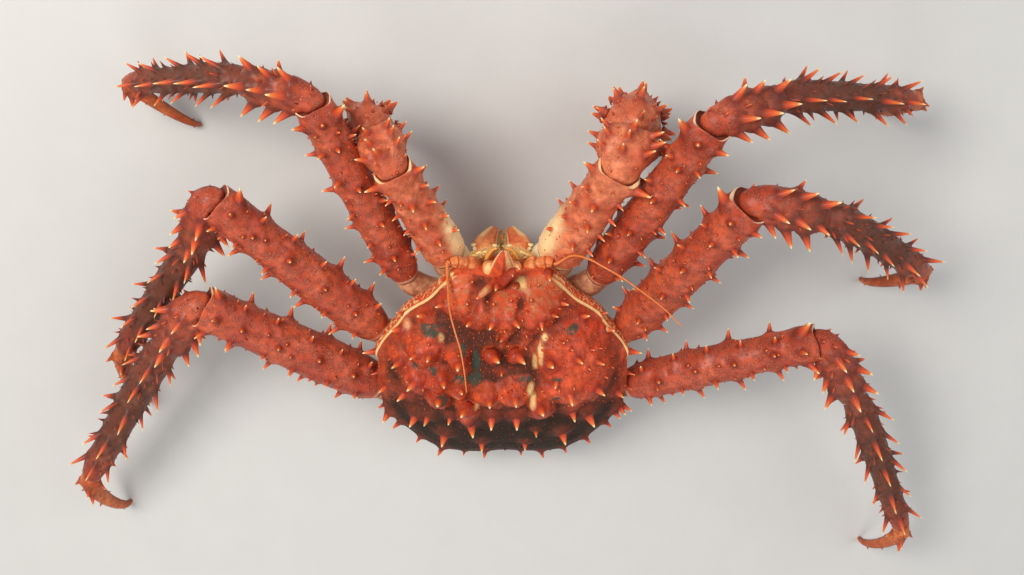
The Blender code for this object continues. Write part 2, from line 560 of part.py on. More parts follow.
def make_flagellum(crab, key, side, peduncle, look):
    """A whip from the end of its peduncle along a smooth curve through its places."""
    places = [peduncle.end + peduncle.tangent * GAP, peduncle.end + peduncle.tangent * FLAGELLUM_STUB * MM]
    places += [at(*place, side) for place in FLAGELLUM_ROUTES[key]]
    curve = bpy.data.curves.new(f"flagellum_{key}", "CURVE")
    curve.dimensions = "3D"
    curve.bevel_depth = FLAGELLUM_RADIUS * MM
    curve.bevel_resolution = 1
    curve.use_fill_caps = True
    points = smooth_route(places)
    spline = curve.splines.new("POLY")
    spline.points.add(len(points) - 1)
    for i, (point, place) in enumerate(zip(spline.points, points)):
        point.co = (*place, 1)
        point.radius = 1.0 - FLAGELLUM_THINNING * i / len(points)
    holder = bpy.data.objects.new("whip", curve)
    crab.collection.objects.link(holder)
    bpy.context.view_layer.update()
    mesh = bpy.data.meshes.new_from_object(holder.evaluated_get(bpy.context.evaluated_depsgraph_get()))
    bpy.data.objects.remove(holder)
    bm = bmesh.new()
    bm.from_mesh(mesh)
    bmesh.ops.remove_doubles(bm, verts=bm.verts, dist=MERGE)
    crab.add(f"flagellum_{key}", finished(bm, f"flagellum_{key}"), look, places[0])


def limb_piece(crab, limb, name, direction, length, run, girth, look, rows, rng, slim=LIMB_SLIM, **shape):
    """The next piece of a limb, straight on or turning into its own heading."""
    start = limb.end.copy()
    rings, stations = limb.sweep(start + direction * length * MM, direction, run, girth, **shape)
    crab.add(name, loft(name, rings), look, start)
    crab.spines[name] = spine_rows(stations, rows, rng, slim)


def make_hip(crab, name, root, hip, way, girth, look, run=HIP_RUN):
    """The short pale piece between the thorax and the merus; returns the limb, ended at the hip."""
    limb = Limb(root, hip - root)
    rings, _ = limb.sweep(hip, way, run, girth)
    crab.add(name, loft("hip", rings), look, root)
    return limb


def make_legs(crab, looks):
    for key, pose in LEG_POSES.items():
        side, number = SIDES[key[0]], int(key[1])
        leg, girth, shell, rng = f"leg_{key}", LEG_GIRTHS[key], looks["leg"], random.Random(key)
        merus, carpus, propodus = (heading(side, *turn) for turn in pose[:3])
        root, hip = at(*LEG_ROOTS[number], side), at(*LEG_HIPS[number], side)
        limb = make_hip(crab, f"{leg}_hip", root, hip, merus, girth, looks["belly"])
        long, short, shin = LEG_LENGTHS[number]
        tables = (MERUS_ROWS, CARPUS_ROWS, PROPODUS_ROWS)
        rows = [[(side * angle, *rest) for angle, *rest in table] for table in tables]
        limb_piece(crab, limb, f"{leg}_merus", merus, long, MERUS_RUN, girth, shell, rows[0], rng)
        limb_piece(
            crab, limb, f"{leg}_carpus", carpus, short, CARPUS_RUN, girth, shell, rows[1], rng,
            leave=CARPUS_LEAVE,
        )
        limb_piece(
            crab, limb, f"{leg}_propodus", propodus, shin, PROPODUS_RUN, girth, shell, rows[2], rng,
            PROPODUS_SLIM, leave=PROPODUS_LEAVE,
        )
        toe = heading(side, pose[3], 0) * DACTYL_LENGTHS[number] * MM
        make_dactyl(crab, limb, f"{leg}_dactyl", toe, girth, looks["tip"], rng)


def make_dactyl(crab, limb, name, toe, girth, look, rng):
    """The last piece of a leg, tipped from level until its small flat end lies on the floor."""
    fall = math.asin(min(1.0, limb.end.z / toe.length))
    foot = limb.end + toe * math.cos(fall)
    foot.z = 0.0
    start = limb.end.copy()
    rings, stations = limb.sweep(foot, Vector((0, 0, -1)), DACTYL_RUN, girth, SLIM_SIDES, DACTYL_LEAVE)
    crab.add(name, loft("dactyl", rings), look, start)
    crab.spines[name] = spine_rows(stations, DACTYL_ROWS, rng)


def make_claws(crab, looks):
    for key, side in SIDES.items():
        claw, girth, shell, rng = f"claw_{key}", CLAW_GIRTHS[key], looks["claw"], random.Random("claw" + key)
        merus, carpus = (heading(side, *turn) for turn in CLAW_POSES[key])
        root, hip = at(*CLAW_ROOT, side), at(*CLAW_HIP, side)
        limb = make_hip(crab, f"{claw}_hip", root, hip, merus, girth, looks["belly"], SHOULDER_RUN)
        arm, wrist = CLAW_LENGTHS[key]
        arm_rows = [(-side * angle, *rest) for angle, *rest in CLAW_MERUS_ROWS]
        limb_piece(crab, limb, f"{claw}_merus", merus, arm, ARM_RUN, girth, shell, arm_rows, rng)
        wrist_rows = [(-side * angle, *rest) for angle, *rest in CLAW_CARPUS_ROWS]
        limb_piece(
            crab, limb, f"{claw}_carpus", carpus, wrist, WRIST_RUN, girth * CLAW_WRIST_GROWTH[key], shell,
            wrist_rows, rng, leave=CARPUS_LEAVE,
        )
        make_chela(crab, limb, claw, heading(side, *CHELAE[key][:2]), CHELAE[key][2:], looks, rng)


def make_chela(crab, limb, claw, axis, sizes, looks, rng):
    """The palm with its fixed finger as one node, and the finger that moves on it."""
    palm_length, finger_length, half = sizes
    start = limb.end.copy()
    end = start + axis * palm_length * MM
    run = [(share, tall) for share, tall, _ in PALM_RUN]
    rings, stations = limb.sweep(end, axis, run, half, leave=PALM_LEAVE)
    open_way = limb.dorsal.copy()
    thick_way = axis.cross(open_way)
    flat = [
        [p - st[3] * (p - st[1]).dot(st[3]) * (1 - thick / tall) for p in ring]
        for ring, st, (_, tall, thick) in zip(rings, stations, PALM_RUN)
    ]
    base = end + axis * FINGER_STEP * MM
    fixed = finger_rings(base, axis, open_way, thick_way, finger_length, half, -1)
    crab.add(f"{claw}_palm", loft("palm", flat + fixed), looks["claw"], start)
    crab.spines[f"{claw}_palm"] = spine_rows(stations, PALM_ROWS, rng, PALM_SLIM)
    length = finger_length * MOVING_FINGER_REACH
    moving = finger_rings(base + axis * GAP, axis, open_way, thick_way, length, half, 1)
    crab.add(f"{claw}_finger", loft("finger", moving), looks["finger"], base)


def finger_rings(base, axis, open_way, thick_way, length, half, flip):
    rings = []
    for share, middle, tall, thick in FINGER_RUN:
        centre = base + axis * (share * length * MM) + open_way * (flip * middle * half * MM)
        rings.append(ellipse(centre, thick_way, open_way, thick * half * MM, tall * half * MM, LIMB_SIDES))
    return rings


def spine_points(spine):
    """Places along a spine and its sunk root, with its radius there."""
    foot, way, size, root = spine
    shares = [k / SPINE_STEPS for k in range(-2, SPINE_STEPS + 1)]
    return [(foot + way * (size * share), root * (1 - share)) for share in shares]


def meets_surface(points, trees):
    return any(
        tree.find_nearest(place, radius + SPINE_CLEARANCE)[0] is not None
        for tree in trees
        for place, radius in points
    )


def meets_spine(points, others):
    return any(
        (place - p).length < radius + r + SPINE_CLEARANCE
        for other in others
        if (other[0][0] - points[0][0]).length < SPINE_RANGE
        for p, r in other
        for place, radius in points
    )


def clear_spines(crab):
    """Shortens each spine that would meet another node or its spines, and drops it if that fails."""
    bpy.context.view_layer.update()
    trees = {}
    for name, node in crab.nodes.items():
        bm = bmesh.new()
        bm.from_mesh(node.data)
        trees[name] = BVHTree.FromBMesh(bm)
        bm.free()
    standing = []
    for name in crab.nodes:
        kept = []
        neighbours = [tree for other, tree in trees.items() if other != name]
        rivals = [points for other, points in standing if other != name]
        for foot, way, size, root in crab.spines[name]:
            for trim in SPINE_TRIMS:
                spine = (foot, way, size * trim, root * math.sqrt(trim))
                points = spine_points(spine)
                low = points[-1][0].z < FLOOR_CLEARANCE
                if not (low or meets_surface(points, neighbours) or meets_spine(points, rivals)):
                    kept.append(spine)
                    standing.append((name, points))
                    break
        crab.spines[name] = kept


def spine_mesh(spine):
    """One closed cone, its root sunk below its foot."""
    foot, way, size, root = spine
    whole = size + ROOT_DEPTH
    bm = bmesh.new()
    turn = way.to_track_quat("Z", "Y").to_matrix().to_4x4()
    bmesh.ops.create_cone(
        bm,
        cap_ends=True,
        segments=next(sides for limit, sides in SPINE_SIDES if root < limit * MM),
        radius1=root * whole / size,
        radius2=0.0,
        depth=whole,
        matrix=Matrix.Translation(foot + way * (whole / 2 - ROOT_DEPTH)) @ turn,
    )
    bmesh.ops.remove_doubles(bm, verts=bm.verts, dist=MERGE)
    return finished(bm, "spine")


def keep_largest(mesh):
    """Leaves only the largest closed surface of a mesh."""
    bm = bmesh.new()
    bm.from_mesh(mesh)
    bm.verts.ensure_lookup_table()
    seen, groups = set(), []
    for start in bm.verts:
        if start.index in seen:
            continue
        stack, group = [start], []
        seen.add(start.index)
        while stack:
            vert = stack.pop()
            group.append(vert)
            for edge in vert.link_edges:
                other = edge.other_vert(vert)
                if other.index not in seen:
                    seen.add(other.index)
                    stack.append(other)
        groups.append(group)
    groups.sort(key=len)
    for group in groups[:-1]:
        bmesh.ops.delete(bm, geom=group, context="VERTS")
    bm.to_mesh(mesh)
    bm.free()


def apply_boolean(crab, name, operation, solver, objects):
    """Joins a node with closed meshes or cuts them from it, then removes them."""
    node = crab.nodes[name]
    look = node.data.materials[0]
    cutters = bpy.data.collections.new("cutters")
    bpy.context.scene.collection.children.link(cutters)
    for tool in objects:
        tool.hide_render = True
        tool.display_type = "WIRE"
        cutters.objects.link(tool)
    boolean = node.modifiers.new("shape", "BOOLEAN")
    boolean.operation = operation
    boolean.operand_type = "COLLECTION"
    boolean.collection = cutters
    boolean.solver = solver
    bpy.context.view_layer.update()
    shaped = bpy.data.meshes.new_from_object(node.evaluated_get(bpy.context.evaluated_depsgraph_get()))
    node.modifiers.clear()
    node.data = shaped
    keep_largest(shaped)
    shaped.materials.clear()
    shaped.materials.append(look)
    for tool in objects:
        bpy.data.objects.remove(tool)
    bpy.data.collections.remove(cutters)


def grown_copy(node, amount):
    """A copy of a node swollen by amount, to cut its neighbours clear of it."""
    bm = bmesh.new()
    bm.from_mesh(node.data)
    bm.normal_update()
    moves = [(vert, vert.normal * (amount * vert.calc_shell_factor())) for vert in bm.verts]
    for vert, move in moves:
        vert.co += move
    mesh = bpy.data.meshes.new("cutter")
    bm.to_mesh(mesh)
    bm.free()
    return bpy.data.objects.new("cutter", mesh)


def search_tree(node):
    return BVHTree.FromPolygons([v.co for v in node.data.vertices], [p.vertices for p in node.data.polygons])


def cut_by(crab, name, others, growth=GAP):
    """Cuts a node clear of each of the others that it would touch."""
    for other in others:
        cutter = grown_copy(crab.nodes[other], growth)
        if search_tree(crab.nodes[name]).overlap(search_tree(cutter)):
            apply_boolean(crab, name, "DIFFERENCE", "EXACT", [cutter])
        else:
            bpy.data.objects.remove(cutter)


def cut_neighbours(crab):
    """Cuts what grows from the body flush with it, and crowded pieces clear of one another."""
    hips = [name for name in crab.nodes if name.endswith("_hip")]
    mouth = [name for name in crab.nodes if name.startswith(("maxilliped", "mouth"))]
    face = [name for name in crab.nodes if name.startswith(("eye", "antenn"))]
    settled = ["carapace", "thorax", "abdomen_flap"]
    for name in ["abdomen_base", *hips, *mouth, *face]:
        cut_by(crab, name, [other for other in settled if other != name.replace("_palp", "")])
        settled.append(name)
    limbs = {}
    for name in crab.nodes:
        if name.startswith(("leg", "claw")):
            limbs.setdefault(name.rsplit("_", 1)[0], []).append(name)
    for chain in limbs.values():
        cut_by(crab, chain[1], ["carapace"])
        for before, after in zip(chain, chain[1:]):
            cut_by(crab, after, [before], CHAIN_GROWTH)
    for key in SIDES:
        for piece in ("carpus", "palm"):
            cut_by(crab, f"claw_{key}_{piece}", [f"leg_{key}1_merus"])


def fuse_spines(crab):
    """Joins each node with its spines, as one closed body."""
    for name, spines in crab.spines.items():
        if spines:
            cones = [bpy.data.objects.new("spine", spine_mesh(spine)) for spine in spines]
            apply_boolean(crab, name, "UNION", "MANIFOLD", cones)


def place_nodes(crab):
    """Gives each node its origin at its own root, under the empty of the whole animal."""
    for name, node in crab.nodes.items():
        origin = crab.origins[name]
        node.data.transform(Matrix.Translation(-origin))
        node.location = origin
        node.parent = crab.root
        node.data.shade_smooth()
        node.data.set_sharp_from_angle(angle=SMOOTH_ANGLE)


def main():
    for old in list(bpy.data.objects):
        bpy.data.objects.remove(old)
    crab = Crab()
    looks = make_materials()
    make_carapace(crab, looks["shell"])
    make_thorax(crab, looks["belly"])
    make_abdomen(crab, looks["belly"])
    make_head(crab, looks)
    make_claws(crab, looks)
    make_legs(crab, looks)
    cut_neighbours(crab)
    clear_spines(crab)
    fuse_spines(crab)
    place_nodes(crab)


main()
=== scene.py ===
import json
import math
import random

import bpy
import numpy as np
from mathutils import Matrix

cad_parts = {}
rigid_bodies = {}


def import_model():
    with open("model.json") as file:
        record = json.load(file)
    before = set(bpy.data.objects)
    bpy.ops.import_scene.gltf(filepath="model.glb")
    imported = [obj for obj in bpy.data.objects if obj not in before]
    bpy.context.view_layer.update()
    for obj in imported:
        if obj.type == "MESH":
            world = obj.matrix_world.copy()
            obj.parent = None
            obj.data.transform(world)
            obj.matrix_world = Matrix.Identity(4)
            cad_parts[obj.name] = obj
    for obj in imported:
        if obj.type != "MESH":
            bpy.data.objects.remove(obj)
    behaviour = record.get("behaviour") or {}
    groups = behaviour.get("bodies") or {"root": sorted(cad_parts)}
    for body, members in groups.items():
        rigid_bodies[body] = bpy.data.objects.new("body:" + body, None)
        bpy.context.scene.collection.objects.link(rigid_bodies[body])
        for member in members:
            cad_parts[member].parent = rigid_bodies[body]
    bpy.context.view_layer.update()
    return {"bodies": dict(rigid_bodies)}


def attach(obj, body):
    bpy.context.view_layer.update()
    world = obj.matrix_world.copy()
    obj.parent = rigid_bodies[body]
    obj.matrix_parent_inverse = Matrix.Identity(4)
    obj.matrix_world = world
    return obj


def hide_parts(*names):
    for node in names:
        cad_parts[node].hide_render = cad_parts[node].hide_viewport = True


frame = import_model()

mm = 0.001
body = next(iter(frame["bodies"]))
sides = {"l": 1, "r": -1}

# The shell is carried head up: tilt in degrees, then the place of its middle in mm.
stance = {"pitch": 14, "middle": (-4, 12, 60)}


# Plain maths on whole arrays

def unit(vectors):  # each vector at length one
    return vectors / np.linalg.norm(vectors, axis=-1, keepdims=True)


def bodyTurn(ways, side=1):  # (outward, forward, up) of the shell, turned by its pitch into the world's axes
    ways = np.asarray(ways, float)
    tilt = math.radians(stance["pitch"])
    c, s = math.cos(tilt), math.sin(tilt)
    x, f, z = side * ways[..., 0], ways[..., 1], ways[..., 2]
    return np.stack([x, z * s - f * c, f * s + z * c], -1)


def bodyPlace(places, side=1):  # a place in mm from the shell's middle, in the world's metres
    return (bodyTurn(places, side) + np.array(stance["middle"])) * mm


def heading(side, bearing, rise):  # bearing from straight outward towards the head, rise above level
    b, r = math.radians(bearing), math.radians(rise)
    return np.array([side * math.cos(r) * math.cos(b), -math.cos(r) * math.sin(b), math.sin(r)])


def ease(x, low, high):  # 0 below low, 1 above high, and a smooth cubic between
    t = np.clip((x - low) / (high - low), 0, 1)
    return t * t * (3 - 2 * t)


def around(turn):  # the same angles, from half a turn on one side to half a turn on the other
    return turn - 2 * np.pi * (turn > np.pi)


def bell(x, middle, width):  # a round hump of height 1
    return np.exp(-((x - middle) / width) ** 2)


def stepped(rows, x):  # eased from each (place, value) row to the next
    places, values = np.array(rows, float).T
    k = np.clip(np.searchsorted(places, x) - 1, 0, len(places) - 2)
    return values[k] + (values[k + 1] - values[k]) * ease((x - places[k]) / (places[k + 1] - places[k]), 0, 1)


def curved(rows, x):  # a cubic through (place, value) rows, its slope at each row taken from both neighbours
    places, values = np.array(rows, float).T
    slopes = np.gradient(values, places)
    k = np.clip(np.searchsorted(places, x) - 1, 0, len(places) - 2)
    h = places[k + 1] - places[k]
    t = np.clip((x - places[k]) / h, 0, 1)
    ends = (2 * t**3 - 3 * t**2 + 1) * values[k] + (3 * t**2 - 2 * t**3) * values[k + 1]
    return ends + h * ((t**3 - 2 * t**2 + t) * slopes[k] + (t**3 - t**2) * slopes[k + 1])


def cloud(points, size, seed=0):  # smooth random heights from -1 to 1, one lump per size
    at = points / size + seed * 17.3
    cell = np.floor(at)
    f = at - cell
    f = f * f * (3 - 2 * f)
    total = 0
    for corner in np.ndindex(2, 2, 2):
        spot = cell + corner
        roll = np.sin(spot[..., 0] * 127.1 + spot[..., 1] * 311.7 + spot[..., 2] * 74.7 + seed) * 43758.5453
        share = np.prod(np.where(corner, f, 1 - f), axis=-1)
        total = total + share * (2 * (roll - np.floor(roll)) - 1)
    return total


def rough(points, size, seed=0):  # three clouds, each half as large and half as high as the last
    return sum(cloud(points, size / 2**k, seed + k) / 2**k for k in range(3)) / 1.75


# Meshes: every piece is one or more closed tubes of rings

maskNames = ("tip", "near", "groove", "pale", "stain", "dusk", "lace")


class Skin:  # gathers tubes with their colour masks, and makes one mesh of them
    def __init__(self):
        self.points, self.corners, self.starts = [], [], []
        self.masks = {name: [] for name in maskNames}
        self.count = self.loops = 0

    def add(self, rings, **masks):
        # rings is (how many tubes, rows, sides, 3). A quad joins each pair of neighbours on two rings,
        # and the first and last ring close on their own middles.
        rings = rings[None] if rings.ndim == 3 else rings
        many, rows, wide, _ = rings.shape
        each = rows * wide + 2
        ends = np.stack([rings[:, 0].mean(1), rings[:, -1].mean(1)], 1)
        self.points.append(np.concatenate([rings.reshape(many, -1, 3), ends], 1).reshape(-1, 3))
        row, side = np.meshgrid(np.arange(rows - 1) * wide, np.arange(wide), indexing="ij")
        after = (side + 1) % wide
        quads = (row + side, row + after, row + wide + after, row + wide + side)
        quads = np.stack(quads, -1).reshape(-1, 4)
        first, following = np.arange(wide), (np.arange(wide) + 1) % wide
        top = (rows - 1) * wide
        fans = np.concatenate([
            np.stack([np.full(wide, rows * wide), following, first], -1),
            np.stack([np.full(wide, rows * wide + 1), top + first, top + following], -1),
        ])
        base = self.count + each * np.arange(many)[:, None, None]
        for faces in (quads, fans):
            corners = (base + faces).reshape(-1)
            self.corners.append(corners)
            self.starts.append(self.loops + faces.shape[1] * np.arange(len(corners) // faces.shape[1]))
            self.loops += len(corners)
        self.count += many * each
        for name in maskNames:
            values = np.broadcast_to(np.asarray(masks.get(name, 0.0), float), rings.shape[:3])
            ends = np.stack([values[:, 0].mean(1), values[:, -1].mean(1)], 1)
            self.masks[name].append(np.concatenate([values.reshape(many, -1), ends], 1).reshape(-1))
        return self

    def make(self, name, material, slot, nodes=()):
        # One mesh of all tubes, its masks as attributes, hung on the body. The frame's pieces it replaces are
        # hidden. The frame is told its slot and what it replaces.
        mesh = bpy.data.meshes.new(name)
        points, corners, starts = (np.concatenate(v) for v in (self.points, self.corners, self.starts))
        mesh.vertices.add(len(points))
        mesh.vertices.foreach_set("co", points.ravel())
        mesh.loops.add(len(corners))
        mesh.loops.foreach_set("vertex_index", corners.astype(np.int32))
        mesh.polygons.add(len(starts))
        mesh.polygons.foreach_set("loop_start", starts.astype(np.int32))
        mesh.update(calc_edges=True)
        mesh.shade_smooth()
        for mask, values in self.masks.items():
            values = np.concatenate(values)
            if np.abs(values).max() > 0:
                mesh.attributes.new(mask, "FLOAT", "POINT").data.foreach_set("value", values)
        mesh.materials.append(material)
        piece = bpy.data.objects.new(name, mesh)
        bpy.context.scene.collection.objects.link(piece)
        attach(piece, body)
        if nodes:
            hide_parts(*nodes)
        return piece


def ringNormals(rings):  # cross of the way round and the way along, at every point of one tube
    along = np.gradient(rings, axis=0)
    sideways = np.roll(rings, -1, 1) - np.roll(rings, 1, 1)
    cross = np.cross(sideways, along)
    return cross / np.maximum(np.linalg.norm(cross, axis=-1, keepdims=True), 1e-12)


# Spines

# Shapes: places up the spine, its radius there in roots, flared where it stands on the shell, points round.
fineSpine = {"shares": (-0.25, 0.0, 0.14, 0.34, 0.58, 0.80, 0.93, 1.0),
             "radii": (1.50, 1.14, 0.90, 0.70, 0.49, 0.29, 0.15, 0.05), "sides": 9}
plainSpine = {"shares": (-0.3, 0.05, 0.40, 0.78, 1.0), "radii": (1.5, 1.1, 0.66, 0.28, 0.07), "sides": 6}
granule = {"shares": (-0.6, 0.15, 0.72, 1.0), "radii": (1.25, 1.0, 0.62, 0.15), "sides": 6}
bristle = {"shares": (-0.1, 0.5, 1.0), "radii": (1.0, 0.7, 0.15), "sides": 3}
# The shell's swelling under a spine: its height and its width, in roots.
mound = {"height": 1.05, "width": 1.5}


def spineSet(foot, way, size, root):  # spines as whole arrays, in metres
    foot, way = np.reshape(foot, (-1, 3)).astype(float), unit(np.reshape(way, (-1, 3)).astype(float))
    return {"foot": foot, "way": way, "size": np.ravel(size), "root": np.ravel(root)}


def joined(sets):  # several sets as one
    return {key: np.concatenate([spines[key] for spines in sets]) for key in sets[0]}


def chosen(spines, wanted):  # only the spines where wanted is true
    return {key: values[wanted] for key, values in spines.items()}


def spineRings(spines, shape):
    # Each ring is a circle about foot + way * size * share, with root * the shape's radius there.
    share, radius = np.array(shape["shares"]), np.array(shape["radii"])
    way = spines["way"]
    helper = np.where(np.abs(way[:, 2:]) < 0.9, (0.0, 0.0, 1.0), (1.0, 0.0, 0.0))
    across = unit(np.cross(way, helper))
    up = np.cross(way, across)
    turn = 2 * np.pi * np.arange(shape["sides"]) / shape["sides"]
    circle = np.cos(turn)[:, None] * across[:, None] + np.sin(turn)[:, None] * up[:, None]
    middle = spines["foot"][:, None] + (way * spines["size"][:, None])[:, None] * share[:, None]
    return middle[:, :, None] + circle[:, None] * (spines["root"][:, None] * radius)[:, :, None, None]


def spineMasks(spines, shape):  # tip runs from 0 at the foot to 1 at the point, and near is the rest
    share = np.clip(np.array(shape["shares"]), 0, 1)
    rows = (len(spines["size"]), len(share), 1)
    # near darkens a spine towards its foot: partly painted shade, partly its deeper red
    return {"tip": np.broadcast_to(share[:, None], rows), "near": np.broadcast_to(1 - share[:, None], rows)}


def mounds(points, spines):
    # The highest of the humps under the spines at each point, and how close it is to the nearest spine.
    flat = points.reshape(-1, 3)
    swell, near = np.zeros(len(flat)), np.zeros(len(flat))
    wide = spines["root"] * mound["width"]
    for part in np.array_split(np.arange(len(flat)), max(1, len(flat) * len(wide) // 2000000)):
        gap = np.linalg.norm(flat[part, None] - spines["foot"], axis=-1) / wide
        swell[part] = (np.exp(-gap**2) * spines["root"]).max(1) * mound["height"]
        near[part] = np.exp(-((gap * 0.8) ** 2)).max(1)
    return swell.reshape(points.shape[:-1]), near.reshape(points.shape[:-1])


# Materials

class Wire:  # one shader socket, so that shader maths reads as an expression
    def __init__(self, tree, socket=None):
        self.tree, self.socket = tree, socket

    def node(self, kind, settings=None, inputs=None, output=0):
        # Makes a node: its settings first, then the values or links of its sockets.
        made = self.tree.nodes.new(kind)
        for key, value in (settings or {}).items():
            if key == "stops":
                ramp = made.color_ramp.elements
                while len(ramp) < len(value):
                    ramp.new(1.0)
                for stop, (place, colour) in zip(ramp, value):
                    stop.position, stop.color = place, (*colour, 1)
            else:
                setattr(made, key, value)
        for key, value in (inputs or {}).items():
            if isinstance(value, Wire):
                self.tree.links.new(value.socket, made.inputs[key])
            elif isinstance(value, tuple) and len(value) == 3 and made.inputs[key].type == "RGBA":
                made.inputs[key].default_value = (*value, 1)
            else:
                made.inputs[key].default_value = value
        return Wire(self.tree, made.outputs[output])

    def maths(self, operation, *values):  # a Math node of these values
        return self.node("ShaderNodeMath", {"operation": operation}, dict(enumerate(values)))

    def __add__(self, other):
        return self.maths("ADD", self, other)

    def __sub__(self, other):
        return self.maths("SUBTRACT", self, other)

    def __mul__(self, other):
        return self.maths("MULTIPLY", self, other)

    def __radd__(self, other):
        return self.maths("ADD", other, self)

    def __rsub__(self, other):
        return self.maths("SUBTRACT", other, self)

    def __rmul__(self, other):
        return self.maths("MULTIPLY", other, self)

    def between(self, low, high):  # 0 at low, 1 at high, smooth between
        settings = {"interpolation_type": "SMOOTHSTEP"}
        return self.node("ShaderNodeMapRange", settings, {"Value": self, "From Min": low, "From Max": high})

    def blend(self, first, second):  # the first colour where this mask is 0, the second where it is 1
        return self.node("ShaderNodeMix", {"data_type": "RGBA"}, {0: self, 6: first, 7: second}, 2)

    def mask(self, name):  # one of the meshes' attributes
        return self.node("ShaderNodeAttribute", {"attribute_name": name}, output=2)

    def noise(self, place, scale, detail=3.0):  # soft clouds
        values = {"Vector": place, "Scale": scale, "Detail": detail, "Roughness": 0.55}
        return self.node("ShaderNodeTexNoise", None, values)

    def cells(self, place, scale, feature="F1"):  # distance from the middle or edge of random cells
        values = {"Vector": place, "Scale": scale}
        return self.node("ShaderNodeTexVoronoi", {"feature": feature}, values)


def newMaterial(name, **fixed):  # a material, its maths and its shader, with its constant sockets set
    material = bpy.data.materials.new(name)
    material.use_nodes = True
    shader = material.node_tree.nodes["Principled BSDF"]
    for key, value in fixed.items():
        shader.inputs[key.replace("_", " ")].default_value = value
    return material, Wire(material.node_tree), shader


def wireUp(wire, shader, **inputs):  # links each maths result to the shader's socket of that name
    for key, value in inputs.items():
        wire.tree.links.new(value.socket, shader.inputs[key.replace("_", " ")])


# Shell colours. shade: the deeper red of the mottle and of dark lines, also painted shade at spine feet.
# valley: the grooves' dark colour, partly painted shade; the last colour of each is painted shade.
shellLooks = {
    "carapace": {
        "base": (0.560, 0.052, 0.014), "warm": (0.740, 0.100, 0.024), "shade": (0.260, 0.018, 0.006),
        "fleck": (0.880, 0.300, 0.130), "flecks": 0.45, "valley": (0.026, 0.013, 0.006),
        "stain": (0.024, 0.066, 0.044), "pale": (0.860, 0.560, 0.230), "dusk": (0.024, 0.014, 0.007),
        "grain": 900.0, "bump": 0.00045,
    },
    "leg": {
        "base": (0.430, 0.052, 0.020), "warm": (0.600, 0.105, 0.040), "shade": (0.160, 0.015, 0.007),
        "fleck": (0.820, 0.360, 0.200), "flecks": 0.50, "valley": (0.170, 0.045, 0.024),
        "stain": (0.100, 0.070, 0.045), "pale": (0.850, 0.580, 0.380), "dusk": (0.070, 0.029, 0.015),
        "grain": 1000.0, "bump": 0.00035,
    },
    "claw": {
        "base": (0.620, 0.120, 0.046), "warm": (0.800, 0.240, 0.105), "shade": (0.300, 0.032, 0.014),
        "fleck": (0.900, 0.460, 0.260), "flecks": 0.50, "valley": (0.260, 0.070, 0.030),
        "stain": (0.120, 0.080, 0.050), "pale": (0.940, 0.660, 0.340), "dusk": (0.200, 0.060, 0.030),
        "grain": 1000.0, "bump": 0.00035,
    },
    "underside": {
        "base": (0.660, 0.300, 0.150), "warm": (0.780, 0.430, 0.240), "shade": (0.300, 0.075, 0.032),
        "fleck": (0.500, 0.100, 0.040), "flecks": 0.60, "valley": (0.240, 0.100, 0.050),
        "stain": (0.140, 0.110, 0.070), "pale": (0.900, 0.740, 0.460), "dusk": (0.340, 0.110, 0.060),
        "grain": 800.0, "bump": 0.00030,
    },
    "mouth": {
        "base": (0.740, 0.150, 0.034), "warm": (0.860, 0.300, 0.090), "shade": (0.460, 0.045, 0.010),
        "fleck": (0.900, 0.520, 0.220), "flecks": 0.30, "valley": (0.240, 0.030, 0.008),
        "stain": (0.420, 0.250, 0.050), "pale": (0.900, 0.560, 0.240), "dusk": (0.200, 0.085, 0.022),
        "grain": 1400.0, "bump": 0.00018,
    },
    "dactyl": {
        "base": (0.520, 0.090, 0.022), "warm": (0.680, 0.180, 0.045), "shade": (0.240, 0.036, 0.012),
        "fleck": (0.820, 0.380, 0.160), "flecks": 0.35, "valley": (0.160, 0.050, 0.024),
        "stain": (0.120, 0.080, 0.040), "pale": (0.860, 0.560, 0.300), "dusk": (0.070, 0.022, 0.010),
        "grain": 1300.0, "bump": 0.00020,
    },
}
# A spine's colours from foot to point: the dark red foot is partly painted shade, partly its own deeper red.
spineLook = {"foot": (0.420, 0.032, 0.009), "shaft": (0.620, 0.075, 0.018), "neck": (0.800, 0.190, 0.040),
             "point": (0.930, 0.740, 0.380)}


